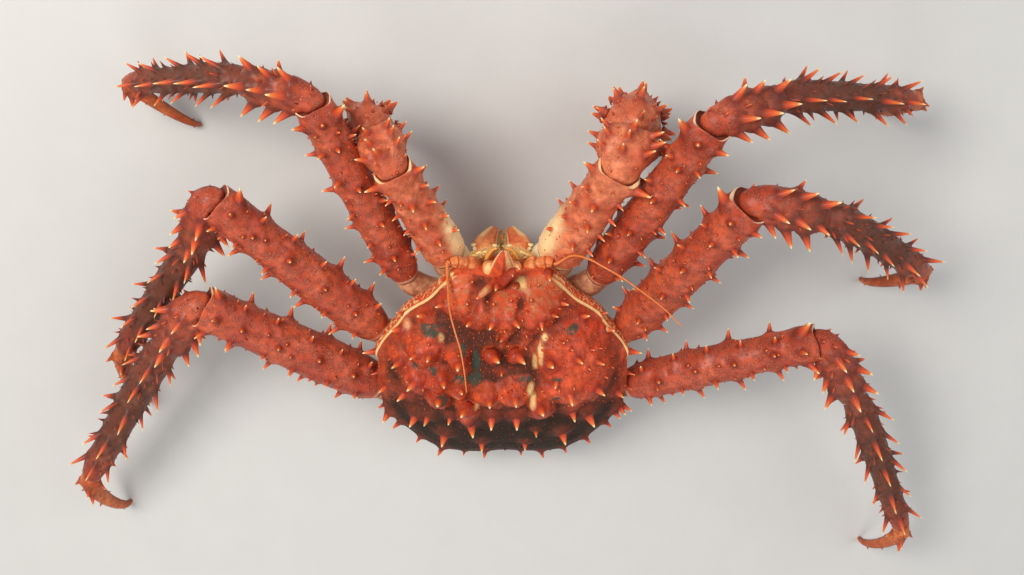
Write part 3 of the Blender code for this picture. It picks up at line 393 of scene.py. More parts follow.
def shellFinish(name, look):
    # Cloudy reds with pale flecks and fine grains, darker round the spines and in the grooves, both partly
    # painted shade, and painted shade by its own mask. A spine runs from a dark red foot, partly painted
    # shade, to orange and a cream point.
    material, wire, shader = newMaterial(name, Coat_Roughness=0.25, Specular_IOR_Level=0.30)
    place = wire.node("ShaderNodeTexCoord", output=3)
    tip, near, groove, pale, stain, dusk, lace = (wire.mask(mask) for mask in maskNames)
    drift = wire.noise(place, 55.0, 4.0)
    mottle = wire.noise(place, 260.0, 3.0)
    grain = wire.cells(place, look["grain"])
    speck = wire.cells(place, look["grain"] * 0.42)
    beads = (1 - grain.between(0.10, 0.55)) * mottle.between(0.42, 0.62)
    flecks = (1 - speck.between(0.04, 0.26)) * drift.between(0.38, 0.62)
    colour = drift.between(0.32, 0.68).blend(look["base"], look["warm"])
    colour = (mottle.between(0.35, 0.62) * 0.55).blend(colour, look["shade"])
    colour = (beads * (look["flecks"] * 0.7)).blend(colour, look["fleck"])
    colour = (flecks * look["flecks"]).blend(colour, look["fleck"])
    # painted shade round the spines' feet and up each spine towards its foot, partly their own deeper red
    colour = (near.between(0.35, 0.95) * 0.75).blend(colour, look["shade"])
    # the grooves darkened: partly their own colour, partly painted shade in the recesses
    colour = (groove * (0.75 + 0.25 * mottle)).blend(colour, look["valley"])
    # painted shade by its own mask: the rear, undersides and recesses
    colour = dusk.blend(colour, look["dusk"])
    colour = (stain.between(0.25, 0.65) * mottle.between(0.30, 0.50) * 0.85).blend(colour, look["stain"])
    net = wire.cells(place, 330.0, "DISTANCE_TO_EDGE")
    threads = (1 - net.between(0.03, 0.16)) * mottle.between(0.30, 0.55)
    colour = (lace * (1 - threads) * 0.7).blend(colour, look["base"])
    colour = (lace * threads * 0.85).blend(colour, look["pale"])
    colour = (pale + 0.5 * (mottle - 0.5)).between(0.20, 0.75).blend(colour, look["pale"])
    shaft = tip.node("ShaderNodeValToRGB", {"stops": (
        (0.0, spineLook["foot"]), (0.20, spineLook["foot"]), (0.52, spineLook["shaft"]),
        (0.80, spineLook["neck"]), (0.93, spineLook["point"]))}, {"Fac": tip})
    colour = tip.between(0.10, 0.55).blend(colour, shaft)
    shine = 0.40 + 0.22 * mottle + 0.25 * groove - 0.08 * tip + 0.10 * dusk
    height = beads * 0.7 + mottle * 0.5 + flecks * 0.5 + wire.noise(place, 2200.0, 2.0) * 0.15
    bump = wire.node("ShaderNodeBump", None, {"Strength": 0.9, "Distance": look["bump"], "Height": height})
    wireUp(wire, shader, Base_Color=colour, Roughness=shine, Coat_Weight=0.14 - 0.12 * groove, Normal=bump)
    return material


def softFinish(name, light, dark, scale, roughness, bump=0.0002, stretch=(1, 1, 1)):
    # A skin between two colours by a fine noise, with the same noise as its bump.
    material, wire, shader = newMaterial(name, Coat_Weight=0.2, Coat_Roughness=0.25)
    place = wire.node("ShaderNodeTexCoord", output=3)
    place = wire.node("ShaderNodeMapping", None, {"Vector": place, "Scale": stretch})
    grain = wire.noise(place, scale, 3.0)
    groove, tip = wire.mask("groove"), wire.mask("tip")
    colour = grain.between(0.35, 0.65).blend(dark, light)
    colour = (groove * 0.7).blend(colour, dark)
    normal = wire.node("ShaderNodeBump", None, {"Strength": 0.7, "Distance": bump, "Height": grain})
    wireUp(wire, shader, Base_Color=colour, Roughness=roughness + 0.15 * grain, Normal=normal)
    return material


def eyeFinish(name):
    # A nearly black lens with fine hexagon-like facets and a warm glint in its depth.
    material, wire, shader = newMaterial(name, Coat_Weight=0.9, Coat_Roughness=0.05)
    place = wire.node("ShaderNodeTexCoord", output=3)
    facets = wire.cells(place, 3600.0)
    depth = wire.noise(place, 420.0, 2.0)
    colour = depth.between(0.35, 0.7).blend((0.020, 0.005, 0.004), (0.110, 0.018, 0.008))
    normal = wire.node("ShaderNodeBump", None, {"Strength": 0.35, "Distance": 0.00004, "Height": 1 - facets})
    wireUp(wire, shader, Base_Color=colour, Roughness=0.10 + 0.10 * facets, Normal=normal)
    return material


finishes = {key: shellFinish(key + "Shell", look) for key, look in shellLooks.items()}
finishes["feeler"] = softFinish("feelerOrange", (0.90, 0.30, 0.055), (0.62, 0.13, 0.030), 1500.0, 0.35)
finishes["antennule"] = softFinish("antennuleYellow", (0.90, 0.46, 0.085), (0.76, 0.24, 0.040), 1200.0, 0.4)
finishes["frill"] = softFinish("goldenFrill", (1.0, 0.80, 0.40), (0.95, 0.60, 0.20), 1500.0, 0.5)
finishes["bristle"] = softFinish("goldenBristle", (0.72, 0.48, 0.20), (0.42, 0.22, 0.08), 1500.0, 0.5)
finishes["tooth"] = softFinish("palmTooth", (0.92, 0.86, 0.74), (0.80, 0.62, 0.44), 900.0, 0.3)
finishes["eye"] = eyeFinish("darkLens")
print("finishes made")


# Limbs: the paths of every swept piece, at the places of the solids

class Span:
    # One swept piece: a cubic path that leaves along pull and lands along land, a girth and a dorsal side.
    def __init__(self, start, stop, pull, land, run, girth, press, dorsal):
        self.start, self.stop, self.pull, self.land = start, stop, pull, land
        self.run, self.girth, self.press = run, girth * mm, press
        self.length = np.linalg.norm(stop - start)
        self.places = np.array([place for place, _ in run])
        self.dorsals = []  # the dorsal way is carried along the path, kept square to it
        for tangent in self.path(self.places)[1]:
            dorsal = unit(dorsal - dorsal.dot(tangent) * tangent)
            self.dorsals.append(dorsal)
        self.dorsals = np.array(self.dorsals)

    def path(self, t):  # place and heading at each share of the way
        t = np.asarray(t, float)[..., None]
        point = (2 * t**3 - 3 * t**2 + 1) * self.start + (t**3 - 2 * t**2 + t) * self.pull
        point = point + (3 * t**2 - 2 * t**3) * self.stop + (t**3 - t**2) * self.land
        slope = (6 * t**2 - 6 * t) * (self.start - self.stop) + (3 * t**2 - 4 * t + 1) * self.pull
        return point, unit(slope + (3 * t**2 - 2 * t) * self.land)

    def frame(self, t):  # place, heading, across and dorsal at each share of the way
        point, tangent = self.path(t)
        dorsal = np.stack([np.interp(t, self.places, self.dorsals[:, k]) for k in range(3)], -1)
        dorsal = unit(dorsal - (dorsal * tangent).sum(-1, keepdims=True) * tangent)
        return point, tangent, np.cross(tangent, dorsal), dorsal

    def surface(self, t, turn, scale=1.0, swell=0.0):
        # The path's place plus across * sin(turn) * half width plus dorsal * cos(turn) * half height.
        t, turn = np.broadcast_arrays(t, turn)
        point, tangent, across, dorsal = self.frame(t)
        radius = curved(self.run, np.clip(t, 0, 1)) * self.girth * scale
        wide, tall = radius / self.press + swell, radius * self.press + swell
        return point + across * (np.sin(turn) * wide)[..., None] + dorsal * (np.cos(turn) * tall)[..., None]

    def out(self, t, turn):  # the way out of the piece, and its heading
        _, tangent, across, dorsal = self.frame(t)
        return across * np.sin(turn)[..., None] + dorsal * np.cos(turn)[..., None], tangent


class Limb:  # a chain of spans, each leaving where and as the last one ended
    gap = 0.3 * mm
    landPull = 0.9

    def __init__(self, start, direction, dorsal=(0, 0, 1)):
        self.end, self.tangent = np.array(start), unit(np.array(direction))
        self.dorsal = np.array(dorsal, float)

    def sweep(self, stop, arrive, run, girth, leave=0.9, press=1.0):  # the next span, a hair's gap further on
        start = self.end + self.tangent * self.gap
        length = np.linalg.norm(stop - start)
        pull, land = self.tangent * length * leave, np.asarray(arrive) * length * self.landPull
        span = Span(start, stop, pull, land, run, girth, press, self.dorsal)
        self.end, self.tangent, self.dorsal = stop, span.path(np.array(1.0))[1], span.dorsals[-1]
        return span


# Radius along each kind of piece: (share of the length, share of the girth).
runs = {
    "hip": ((0, 0.60), (0.4, 0.64), (0.75, 0.70), (1, 0.64)),
    "shoulder": ((0, 0.60), (0.4, 0.76), (0.75, 1.0), (1, 0.94)),
    "merus": ((0, 0.66), (0.06, 0.86), (0.22, 1.0), (0.5, 1.0), (0.8, 0.91), (0.93, 0.93), (1, 0.90)),
    "arm": ((0, 0.92), (0.06, 1.04), (0.22, 1.08), (0.5, 1.0), (0.8, 0.91), (0.93, 0.93), (1, 0.90)),
    "carpus": ((0, 0.62), (0.2, 0.70), (0.5, 0.79), (0.82, 0.79), (1, 0.70)),
    "wrist": ((0, 0.66), (0.2, 0.74), (0.5, 0.90), (0.82, 0.90), (1, 0.76)),
    "propodus": ((0, 0.60), (0.10, 0.69), (0.4, 0.70), (0.75, 0.61), (0.93, 0.57), (1, 0.46)),
    "dactyl": ((0, 0.40), (0.15, 0.44), (0.45, 0.34), (0.75, 0.23), (1, 0.12)),
}
# Where each leg starts in the thorax and where its merus starts, from the shell's middle, and the lengths of
# its merus, carpus, propodus and dactyl. Then how thick each leg is: half its merus. All in mm.
legs = {
    "1": {"root": (27, 23, -27), "hip": (53.5, 40, -20), "lengths": (124, 40, 94, 50)},
    "2": {"root": (34, 5, -27), "hip": (69.5, 8.5, -13.5), "lengths": (123, 38, 103, 58)},
    "3": {"root": (36, -16, -27), "hip": (71, -29, -12), "lengths": (113, 42, 110, 54)},
}
girths = {"l1": 10.5, "l2": 12.0, "l3": 13.0, "r1": 11.0, "r2": 12.0, "r3": 11.0}
# Bearing and rise of merus, carpus and propodus, then the bearing of the dactyl, in degrees.
legPoses = {
    "l1": ((70, 26), (14, -25), (-6, -37), -132),
    "l2": ((48, 21.5), (-56, -36), (-53, -22), -91),
    "l3": ((33, 17), (-46, -23), (-57, -11), -102),
    "r1": ((63, 30), (16, -26), (-5, -30), -90),
    "r2": ((59, 32.5), (-10, -10), (-32, -34), -126),
    "r3": ((21, 17), (-54, -9), (-65, -14), -108),
}
claws = {
    "root": (18, 31, -27), "hip": (30, 55, -19),
    "l": {"lengths": (71, 22), "girth": 11.0, "wrist": 1.17, "pose": ((66, 31), (60, -20)),
          "chela": (-54, -78), "palm": 41, "finger": 29, "half": 13.5},
    "r": {"lengths": (73, 21), "girth": 12.5, "wrist": 1.22, "pose": ((62, 31), (72, -24)),
          "chela": (-54, -78), "palm": 46, "finger": 32, "half": 17.5},
}
# Rows of large spines: (angle from dorsal towards the head, first and last share, count, length, lean).
spineRowTables = {
    "merus": (
        (0, 0.12, 0.90, 4, 7.5, 15), (45, 0.06, 0.90, 5, 7.0, 15), (-45, 0.06, 0.90, 5, 7.0, 15),
        (95, 0.08, 0.88, 4, 7.5, 15), (-95, 0.08, 0.88, 4, 7.5, 15), (180, 0.35, 0.65, 1, 6.0, 10),
        (48, 0.93, 0.97, 1, 14.0, 38), (0, 0.92, 0.96, 1, 8.0, 30), (-55, 0.92, 0.96, 1, 9.0, 35),
    ),
    "carpus": (
        (5, 0.18, 0.95, 3, 11.5, 35), (55, 0.22, 0.92, 3, 11.0, 32), (-55, 0.22, 0.92, 3, 11.0, 32),
        (110, 0.50, 0.75, 1, 7.5, 25), (-110, 0.50, 0.75, 1, 7.5, 25),
    ),
    "propodus": (
        (0, 0.06, 0.95, 5, 13.5, 45), (55, 0.08, 0.95, 5, 12.5, 45), (-55, 0.08, 0.95, 5, 12.5, 45),
        (115, 0.12, 0.92, 3, 11.0, 42), (-115, 0.12, 0.92, 3, 11.0, 42),
    ),
    "dactyl": ((0, 0.10, 0.30, 2, 7.0, 45), (80, 0.10, 0.20, 1, 6.0, 45), (-80, 0.10, 0.20, 1, 6.0, 45)),
    "arm": (
        (0, 0.25, 0.85, 3, 8.0, 12), (50, 0.25, 0.9, 4, 7.0, 12), (-50, 0.25, 0.9, 4, 7.0, 12),
        (110, 0.3, 0.9, 3, 6.0, 12), (-110, 0.3, 0.9, 3, 6.0, 12), (100, 0.94, 0.96, 1, 15.0, 25),
        (60, 0.94, 0.96, 1, 11.0, 25), (-60, 0.94, 0.96, 1, 9.0, 25),
    ),
    "wrist": (
        (95, 0.45, 0.85, 2, 14.0, 10), (45, 0.3, 0.9, 3, 9.0, 15), (0, 0.25, 0.9, 3, 9.0, 15),
        (-45, 0.3, 0.9, 3, 8.0, 15), (-95, 0.4, 0.9, 2, 7.0, 15),
    ),
    "palm": (
        (0, 0.08, 0.9, 4, 7.0, 10), (40, 0.08, 0.9, 3, 6.5, 10), (-40, 0.08, 0.9, 3, 6.5, 10),
        (85, 0.1, 0.9, 3, 6.0, 10), (-85, 0.1, 0.9, 3, 6.0, 10), (135, 0.2, 0.9, 1, 5.0, 10),
        (-135, 0.2, 0.9, 1, 5.0, 10),
    ),
}
# Small spines and tubercles between them: (how many per 100 mm, shortest, longest, root over length).
scatterTables = {
    "merus": ((44, 1.8, 4.2, 0.34), (90, 0.5, 1.1, 0.65)),
    "carpus": ((80, 1.8, 5.5, 0.30), (80, 0.5, 1.1, 0.65)),
    "propodus": ((70, 2.0, 7.0, 0.24), (60, 0.5, 1.0, 0.65)),
    "dactyl": ((30, 1.2, 2.6, 0.30),),
    "arm": ((60, 1.5, 3.5, 0.34), (90, 0.5, 1.1, 0.65)),
    "wrist": ((110, 2.0, 4.8, 0.30), (100, 0.5, 1.1, 0.65)),
    "palm": ((115, 2.6, 5.0, 0.30), (120, 0.5, 1.1, 0.65)),
}
# Root over length of the large spines.
slims = {"merus": 0.27, "carpus": 0.27, "propodus": 0.15, "dactyl": 0.28, "arm": 0.28, "wrist": 0.28,
         "palm": 0.34}
# How far each may stray: share of the piece, degrees, share of its own length.
stray = {"share": 0.012, "turn": 8, "size": (0.82, 1.12)}


def rowSpines(span, rows, rng, slim):  # the large spines of a piece, strayed a little from their rows
    shares, turns, sizes, leans = [], [], [], []
    for angle, first, last, count, length, lean in rows:
        for i in range(count):
            share = first + (last - first) * (i + 0.5) / count
            shares.append(share + rng.uniform(-stray["share"], stray["share"]))
            turns.append(math.radians(angle + rng.uniform(-stray["turn"], stray["turn"])))
            sizes.append(length * rng.uniform(*stray["size"]) * mm)
            leans.append(math.tan(math.radians(lean)))
    return standing(span, np.array(shares), np.array(turns), np.array(sizes), slim, np.array(leans))


def standing(span, share, turn, size, slim, lean):  # spines on a span, leaning to its tip
    out, tangent = span.out(share, turn)
    return spineSet(span.surface(share, turn), out + tangent * lean[:, None], size, size * slim)


goldenTurn = 2.39996  # from one to the next on a spiral, in radians


def scattered(span, kind, rng):  # small spines and tubercles, on a jittered spiral round the piece
    sets = []
    for density, low, high, slim in scatterTables[kind]:
        count = int(density * span.length / mm / 100)
        k = np.arange(count)
        share = 0.05 + 0.88 * (k + rng.uniform(0.2, 0.8, count)) / count
        turn = k * goldenTurn + rng.uniform(-0.4, 0.4, count)
        upper = 0.5 + 0.5 * np.cos(turn)
        size = (low + (high - low) * rng.uniform(0, 1, count) ** 2) * mm * (0.6 + 0.4 * upper)
        sets.append(standing(span, share, turn, size, slim, np.full(count, 0.35)))
    return sets


spans, largeSpines, smallSpines = {}, {}, {}


def store(name, span, kind, rows=None, rng=None):
    # Keeps a span with its spines. The same seeds as the solids' leave the large ones where they are there.
    spans[name] = span
    if rows:
        largeSpines[name] = rowSpines(span, rows, rng, slims[kind])
        dice = np.random.default_rng(sum(map(ord, name)))
        smallSpines[name] = scattered(span, kind, dice)


for key, pose in legPoses.items():
    side, spec, rng = sides[key[0]], legs[key[1]], random.Random(key)
    girth, lengths = girths[key], spec["lengths"]
    headings = [heading(side, *turn) for turn in pose[:3]]
    root, hip = bodyPlace(spec["root"], side), bodyPlace(spec["hip"], side)
    leg = Limb(root, hip - root)
    store(f"leg_{key}_hip", leg.sweep(hip, headings[0], runs["hip"], girth), "hip")
    for kind, way, length, leave in zip(("merus", "carpus", "propodus"), headings, lengths, (0.9, 0.6, 0.45)):
        span = leg.sweep(leg.end + way * length * mm, way, runs[kind], girth, leave)
        rows = [(side * angle, *rest) for angle, *rest in spineRowTables[kind]]
        store(f"leg_{key}_{kind}", span, kind, rows, rng)
    toe = heading(side, pose[3], 0) * lengths[3] * mm
    fall = math.asin(min(1.0, leg.end[2] / (lengths[3] * mm)))
    foot = leg.end + toe * math.cos(fall)
    foot[2] = 0.0
    span = leg.sweep(foot, (0, 0, -1), runs["dactyl"], girth, 0.8)
    store(f"leg_{key}_dactyl", span, "dactyl", spineRowTables["dactyl"], rng)

# The palm: (share of its length, half height and half width over the claw's half).
palmRun = ((0, 0.50, 0.52), (0.10, 0.68, 0.66), (0.4, 0.97, 0.80), (0.75, 1.0, 0.78), (1, 0.94, 0.66))
chelae = {}
for key, side in sides.items():
    spec, rng = claws[key], random.Random("claw" + key)
    headings = [heading(side, *turn) for turn in spec["pose"]]
    root, hip = bodyPlace(claws["root"], side), bodyPlace(claws["hip"], side)
    arm = Limb(root, hip - root)
    store(f"claw_{key}_hip", arm.sweep(hip, headings[0], runs["shoulder"], spec["girth"]), "hip")
    parts = (("merus", "arm", 0.9, 1.0), ("carpus", "wrist", 0.6, spec["wrist"]))
    for (kind, table, leave, growth), way, length in zip(parts, headings, spec["lengths"]):
        rows = [(-side * angle, *rest) for angle, *rest in spineRowTables[table]]
        span = arm.sweep(arm.end + way * length * mm, way, runs[table], spec["girth"] * growth, leave)
        store(f"claw_{key}_{kind}", span, table, rows, rng)
    axis = heading(side, *spec["chela"])
    end = arm.end + axis * spec["palm"] * mm
    span = arm.sweep(end, axis, tuple((share, tall) for share, tall, _ in palmRun), spec["half"], 0.5)
    store(f"claw_{key}_palm", span, "palm", spineRowTables["palm"], rng)
    chelae[key] = {"base": end + axis * 0.2 * mm, "axis": axis, "open": arm.dorsal, **spec}
print("limbs laid out:", len(spans), "spans")


# Carapace

carapace = {
    "halfWidth": 70,
    # Outline seen from above: (bearing from the head, share of the half width), then the height of its edge.
    "margin": (
        (0, 0.75), (23, 0.84), (45, 0.79), (66, 0.87), (90, 1.0), (125, 1.12), (152, 1.14), (180, 1.08),
    ),
    "marginHeights": ((0, 3), (45, 0), (100, -1), (140, -5), (180, -9)),
    "vault": (19, 2.6),  # height, and how flat its top is
    # Swellings of the back: (outward on its left, forward, half width, half length, height).
    "domes": (
        (-23, 47, 13.4, 15.7, 10), (23, 49, 8.6, 13.9, 8), (0, 41, 13.4, 11.5, 9), (14, 33, 6.7, 5.4, 4),
        (-16, 33, 8.8, 6, 5), (-1, 24, 3, 6, 2.5), (-13, 23, 4, 8, 2.5), (5, 15, 4.2, 4.8, 6),
        (-8, 16, 4.4, 5.0, 6.5), (24, 11, 6.7, 8.1, 8), (-25, 11, 6.9, 8.6, 8), (8, -13, 8.3, 8.6, 7),
        (-7, -10, 9.6, 10, 9), (24, -9, 5.9, 6.9, 6.5), (-27, -9, 6.7, 7.8, 6), (20, -23, 6.5, 8.1, 7.5),
        (-21, -22, 6.9, 8.6, 7.5), (43, 15, 10.6, 11.2, 8), (48, -5, 8.8, 10.3, 7), (35, -4, 8, 8.6, 7),
        (36, -18, 6.7, 7.4, 6.5), (60, 6, 7.8, 7.8, 5), (-40, 13, 20, 18.7, 9), (-43, -4, 18, 16.3, 9),
        (-54, 25, 9.8, 9, 6), (-39, -17, 6.9, 7.8, 6.5), (42, 32, 5.7, 4.8, 5), (57, 19, 6.7, 4.8, 4),
        (32, 39, 5.2, 4.8, 5),
    ),
    "domePower": 3.0,
    "edge": 0.2,  # the swellings fade out over this share of the radius
    # From the floor up to the edge: (share of the way, share of the radius behind, share in front).
    "wall": ((0, 0.66, 0.80), (0.33, 0.80, 0.97), (0.62, 0.925, 1.03), (0.86, 0.995, 1.03), (1, 1, 1)),
    "floor": -20,
    "around": 400,
    "rows": (8, 26, 78, 72),  # rings: below, up the wall, over the outer half of the back, its inner half
    "lumps": ((0.6, 5.5, 3), (0.16, 1.7, 9)),  # height, size and seed of the lumps of the shell
    "domeLumps": (0.5, 3.0, 13),  # the same on its swellings alone
    "front": (70, 115),  # bearings from the head where the steep front wall starts to end, and ends
    # Blots of colour: (outward on its left, forward, half width, half length).
    "stains": (
        (39, 25, 6, 3.6), (21, 17, 2, 3), (14, 9, 2.2, 8), (15, -1, 4, 5), (24, -2, 4, 2.2),
        (-13, -1, 4, 2.6), (-38, 27, 4, 2.2), (47, 4, 2, 3), (38, 3, 3, 2.4), (33, -14, 3, 4),
        (-30, 1, 3, 1.6), (-30, -14, 3, 2),
    ),
    "pales": (
        (-21, 17, 1.8, 6), (-18, 10, 1.8, 6), (-15.5, -7, 2.4, 5), (33, 22, 2.4, 3.2), (52, 24, 3, 3.4),
        (-23, 24, 2.0, 2.4), (-10.5, 51.5, 3.8, 3.4), (-17, -14, 2, 6), (14, -19, 2, 2.6),
        (26, -13, 2.4, 2.4),
    ),
    # Hollows of the front, darkened partly as painted shade: (outward on its left, forward, half width, half
    # length).
    "hollows": ((11.5, 51.5, 4.4, 4.8), (7.9, 45.3, 2.6, 5.5), (-29, 31, 2.6, 3.4), (-10.5, 43, 2.0, 4.0)),
    "warp": 1.0,  # how far the swellings' edges wander, in mm
    "hollowDepth": 0.45,  # how much lower the swellings are in a hollow
    "dark": ((22, 36), 0.92),  # where the painted shade of the rear starts and is full, in mm behind the middle, how dark it is
    "line": (0.3, 1.1),  # the pale line along the edge is full up to here and ends there, in mm from the edge
    "lineSpan": ((20, 30), (84, 98)),  # bearings where it starts and is full, and where it fades and ends
    "lace": (0.8, 1.6),  # the lace below it starts here and is full there, in mm from the edge
    "clouds": (22, 46, 0.31),  # where the paler front starts and is full, and how pale: partly painted highlight, partly its pinker tone
}


def marginRadius(bearing):  # distance of the shell's edge from its middle, in mm
    return stepped(carapace["margin"], np.abs(bearing)) * carapace["halfWidth"]


def blots(outward, forward, table):  # round patches, 1 at the middle of each
    spots = [((outward - x) / wide) ** 2 + ((forward - f) / long) ** 2 for x, f, wide, long in table]
    return np.exp(-np.min(spots, axis=0))


def domeHeight(outward, forward):  # the swellings, each a flat-topped bell, as the 3-norm of their heights
    # Their edges wander: both places are shifted by slow waves first.
    warp = carapace["warp"]
    aside = np.sin(forward / 4.1 + 1) + 0.7 * np.sin(forward / 1.9 + outward / 3)
    ahead = np.sin(outward / 3.7 + 2) + 0.7 * np.sin(outward / 2.1 - forward / 3)
    outward, forward = outward + warp * aside, forward + warp * ahead
    total = 0
    for x, f, halfWidth, halfLength, height in carapace["domes"]:
        spread = np.hypot((outward - x) / halfWidth, (forward - f) / halfLength)
        total = total + (height * np.exp(-spread ** carapace["domePower"])) ** 3
    return total ** (1 / 3) * (1 - carapace["hollowDepth"] * blots(outward, forward, carapace["hollows"]))


def backHeight(outward, forward):
    # A vault that meets the edge of the shell, plus the swellings, which fade out near that edge.
    bearing = np.degrees(np.arctan2(np.abs(outward), forward))
    share = np.minimum(1.0, np.hypot(outward, forward) / marginRadius(bearing))
    tall, power = carapace["vault"]
    rim = stepped(carapace["marginHeights"], bearing) * share**2
    fade = np.minimum(1.0, (1 - share) / carapace["edge"])
    return rim + tall * (1 - share**power) + domeHeight(outward, forward) * fade


def backWay(outward, forward, step=1.2):  # the slope's normal, in the shell's own axes
    across = backHeight(outward + step, forward) - backHeight(outward - step, forward)
    rise = backHeight(outward, forward + step) - backHeight(outward, forward - step)
    return unit(np.stack([-across, -rise, 2 * step + 0 * across], -1))


def bodyCoords(points):  # world metres back to (outward on the animal's left, forward, up) in mm
    places = points / mm - np.array(stance["middle"])
    tilt = math.radians(stance["pitch"])
    c, s = math.cos(tilt), math.sin(tilt)
    x, y, z = places[..., 0], places[..., 1], places[..., 2]
    return np.stack([x, z * s - y * c, z * c + y * s], -1)


def inShell(points, margin):  # whether world points lie in the carapace or closer to it than margin, in mm
    x, f, z = np.moveaxis(bodyCoords(points), -1, 0)
    bearing = np.degrees(np.arctan2(np.abs(x), f))
    near = np.hypot(x, f) < marginRadius(bearing) * 1.04 + margin
    return near & (z < backHeight(x, f) + margin) & (z > -40)


# Spines of the back as (outward on its left, forward, length).
backSpines = {
    "large": (
        (31, 39, 7), (41, 31, 8), (55, 20, 8), (-43, 30, 7), (-57, 19, 6), (27, 52, 6), (-25, 54, 6),
        (16, 52, 4), (19, 44, 4), (-16, 46, 4), (-26, 38, 5), (26, 48, 4), (-31, 40, 6), (-5, 45, 3),
        (-6, 38, 3), (4, 44, 4), (-19, 51, 3), (16, 34, 7), (4, 37, 7), (-6, 37, 7), (-21, 36, 6),
        (-1, 25, 5), (-4, 20, 3), (-13, 27, 3), (-12, 20, 3), (2, 24, 2.5), (5, 16, 9), (-8, 17, 9),
        (0, 3, 4), (23, 12, 9), (-25, 13, 9), (7, -11, 8), (-7, -8, 8), (56, 4, 7), (46, 13, 6), (39, 14, 7),
        (-40, 13, 7), (-51, 8, 6), (-33, 22, 4), (-37, 19, 3), (-48, 15, 3), (47, -4, 9), (32, -1, 8),
        (35, -15, 9), (23, -7, 7), (20, -20, 9), (-21, -19, 9), (-37, -8, 9), (-30, 0, 6), (-51, -9, 8),
        (-64, -22, 7), (-39, -28, 8), (-48, -34, 10), (6, -30, 9), (-8, -30, 9), (18, -34, 10), (-19, -43, 5),
        (-34, -47, 9), (54, -19, 8), (49, -36, 9), (42, -35, 7), (29, -32, 6), (65, -19, 7), (33, -49, 9),
        (-67, -37, 7), (-65, -41, 6), (12, -56, 7), (-13, -57, 6), (66, -42, 8),
    ),
    "lean": ((0, 0.22), (15, 0.22), (45, 0.57)),  # towards the tail, by the distance behind the middle
    "splay": ((25, 0.05), (60, 0.40)),  # outward, by the distance from the midline
    "slim": 0.37,
    # On the edge: (bearing from the head, length on its left, length on its right).
    "margin": (
        (63, 5, 5), (88, 9, 9), (100, 4, 5), (108, 6, 4), (118, 5, 8), (130, 7, 6), (142, 5, 6), (153, 7, 5),
        (163, 4, 6), (172, 6, 4),
    ),
    "marginRise": 0.30,
    "marginSlim": 0.28,
    "scatter": ((230, 1.2, 3.2, 0.42), (900, 0.5, 1.2, 0.7)),  # how many, shortest, longest, root over length
}


def backSpineSets():
    # The large spines of the back and its edge as one set, then the small ones on a jittered spiral.
    spec = backSpines
    x, f, size = np.array(spec["large"], float).T
    way = backWay(x, f)
    way[:, 0] += np.sign(x) * stepped(spec["splay"], np.abs(x))
    way[:, 1] -= stepped(spec["lean"], -f)
    foot = bodyPlace(np.stack([x, f, backHeight(x, f)], -1))
    large = [spineSet(foot, bodyTurn(way), size * mm, size * mm * spec["slim"])]
    for side, column in ((1, 1), (-1, 2)):
        table = np.array(spec["margin"], float)
        turn, size = np.radians(table[:, 0]), table[:, column] * mm
        radius, rise = marginRadius(table[:, 0]), stepped(carapace["marginHeights"], table[:, 0])
        edge = np.stack([radius * np.sin(turn), radius * np.cos(turn), rise], -1)
        way = np.stack([np.sin(turn), np.cos(turn), np.full(len(turn), spec["marginRise"])], -1)
        large.append(spineSet(bodyPlace(edge, side), bodyTurn(way, side), size, size * spec["marginSlim"]))
    small, dice = [], np.random.default_rng(5)
    for count, low, high, slim in spec["scatter"]:
        k = np.arange(count)
        share, bearing = np.sqrt((k + 0.5) / count) * 0.985, np.degrees(k * goldenTurn)
        bearing = bearing - 360 * np.floor(bearing / 360 + 0.5) + dice.uniform(-3, 3, count)
        radius = marginRadius(bearing) * np.clip(share + dice.uniform(-0.03, 0.03, count), 0, 0.985)
        x, f = radius * np.sin(np.radians(bearing)), radius * np.cos(np.radians(bearing))
        longest = high * (0.40 + 0.60 * ease(domeHeight(x, f), 1.5, 5))
        size = (low + (longest - low) * dice.uniform(0, 1, count) ** 2) * mm
        way = backWay(x, f)
        way[:, 1] -= 0.15
        foot = bodyPlace(np.stack([x, f, backHeight(x, f)], -1))
        small.append(spineSet(foot, bodyTurn(way), size, size * slim))
    return joined(large), small


def clearOf(name, spines):
    # Leaves out each spine that would reach into another piece, the shell or the floor: three places along it
    # are measured against each other piece's radius beside them.
    share = np.array([0.35, 0.7, 1.0])
    places = spines["foot"][:, None] + (spines["way"] * spines["size"][:, None])[:, None] * share[:, None]
    free = (places[:, -1, 2] > 1.0 * mm) & np.isfinite(places).all((1, 2))
    for other, span in spans.items():
        if other == name:
            continue
        t = np.linspace(0, 1, 25)
        middle, tangent = span.path(t)
        radius = curved(span.run, t) * span.girth
        off = places[:, :, None] - middle
        beside = np.abs((off * tangent).sum(-1)) < span.length / 24
        gap = np.where(beside, np.linalg.norm(off, axis=-1) - radius, 1.0)
        free &= gap.min((1, 2)) > 0.2 * mm
    if name != "carapace":
        free &= ~inShell(places, 0.5).any(1)
    return chosen(spines, free)


shellSpines, shellSmall = backSpineSets()
shellSpines = clearOf("carapace", shellSpines)
shellSmall = [clearOf("carapace", group) for group in shellSmall]
for name in largeSpines:
    largeSpines[name] = clearOf(name, largeSpines[name])
    smallSpines[name] = [clearOf(name, group) for group in smallSpines[name]]
print("spines placed:", len(shellSpines["size"]) + sum(len(s["size"]) for s in largeSpines.values()), "large")


def groundMasks(skin, feet):  # the colour masks of the skin's own point nearest to each foot
    step = 1 + len(skin.points[0]) // 12000
    points, nearest = skin.points[0][::step], []
    for part in np.array_split(feet, 1 + len(feet) * len(points) // 2000000):
        nearest.append(((points[None] - part[:, None]) ** 2).sum(-1).argmin(1))
    nearest = np.concatenate(nearest) * step
    return {mask: skin.masks[mask][0][nearest][:, None, None] for mask in ("pale", "dusk", "stain")}


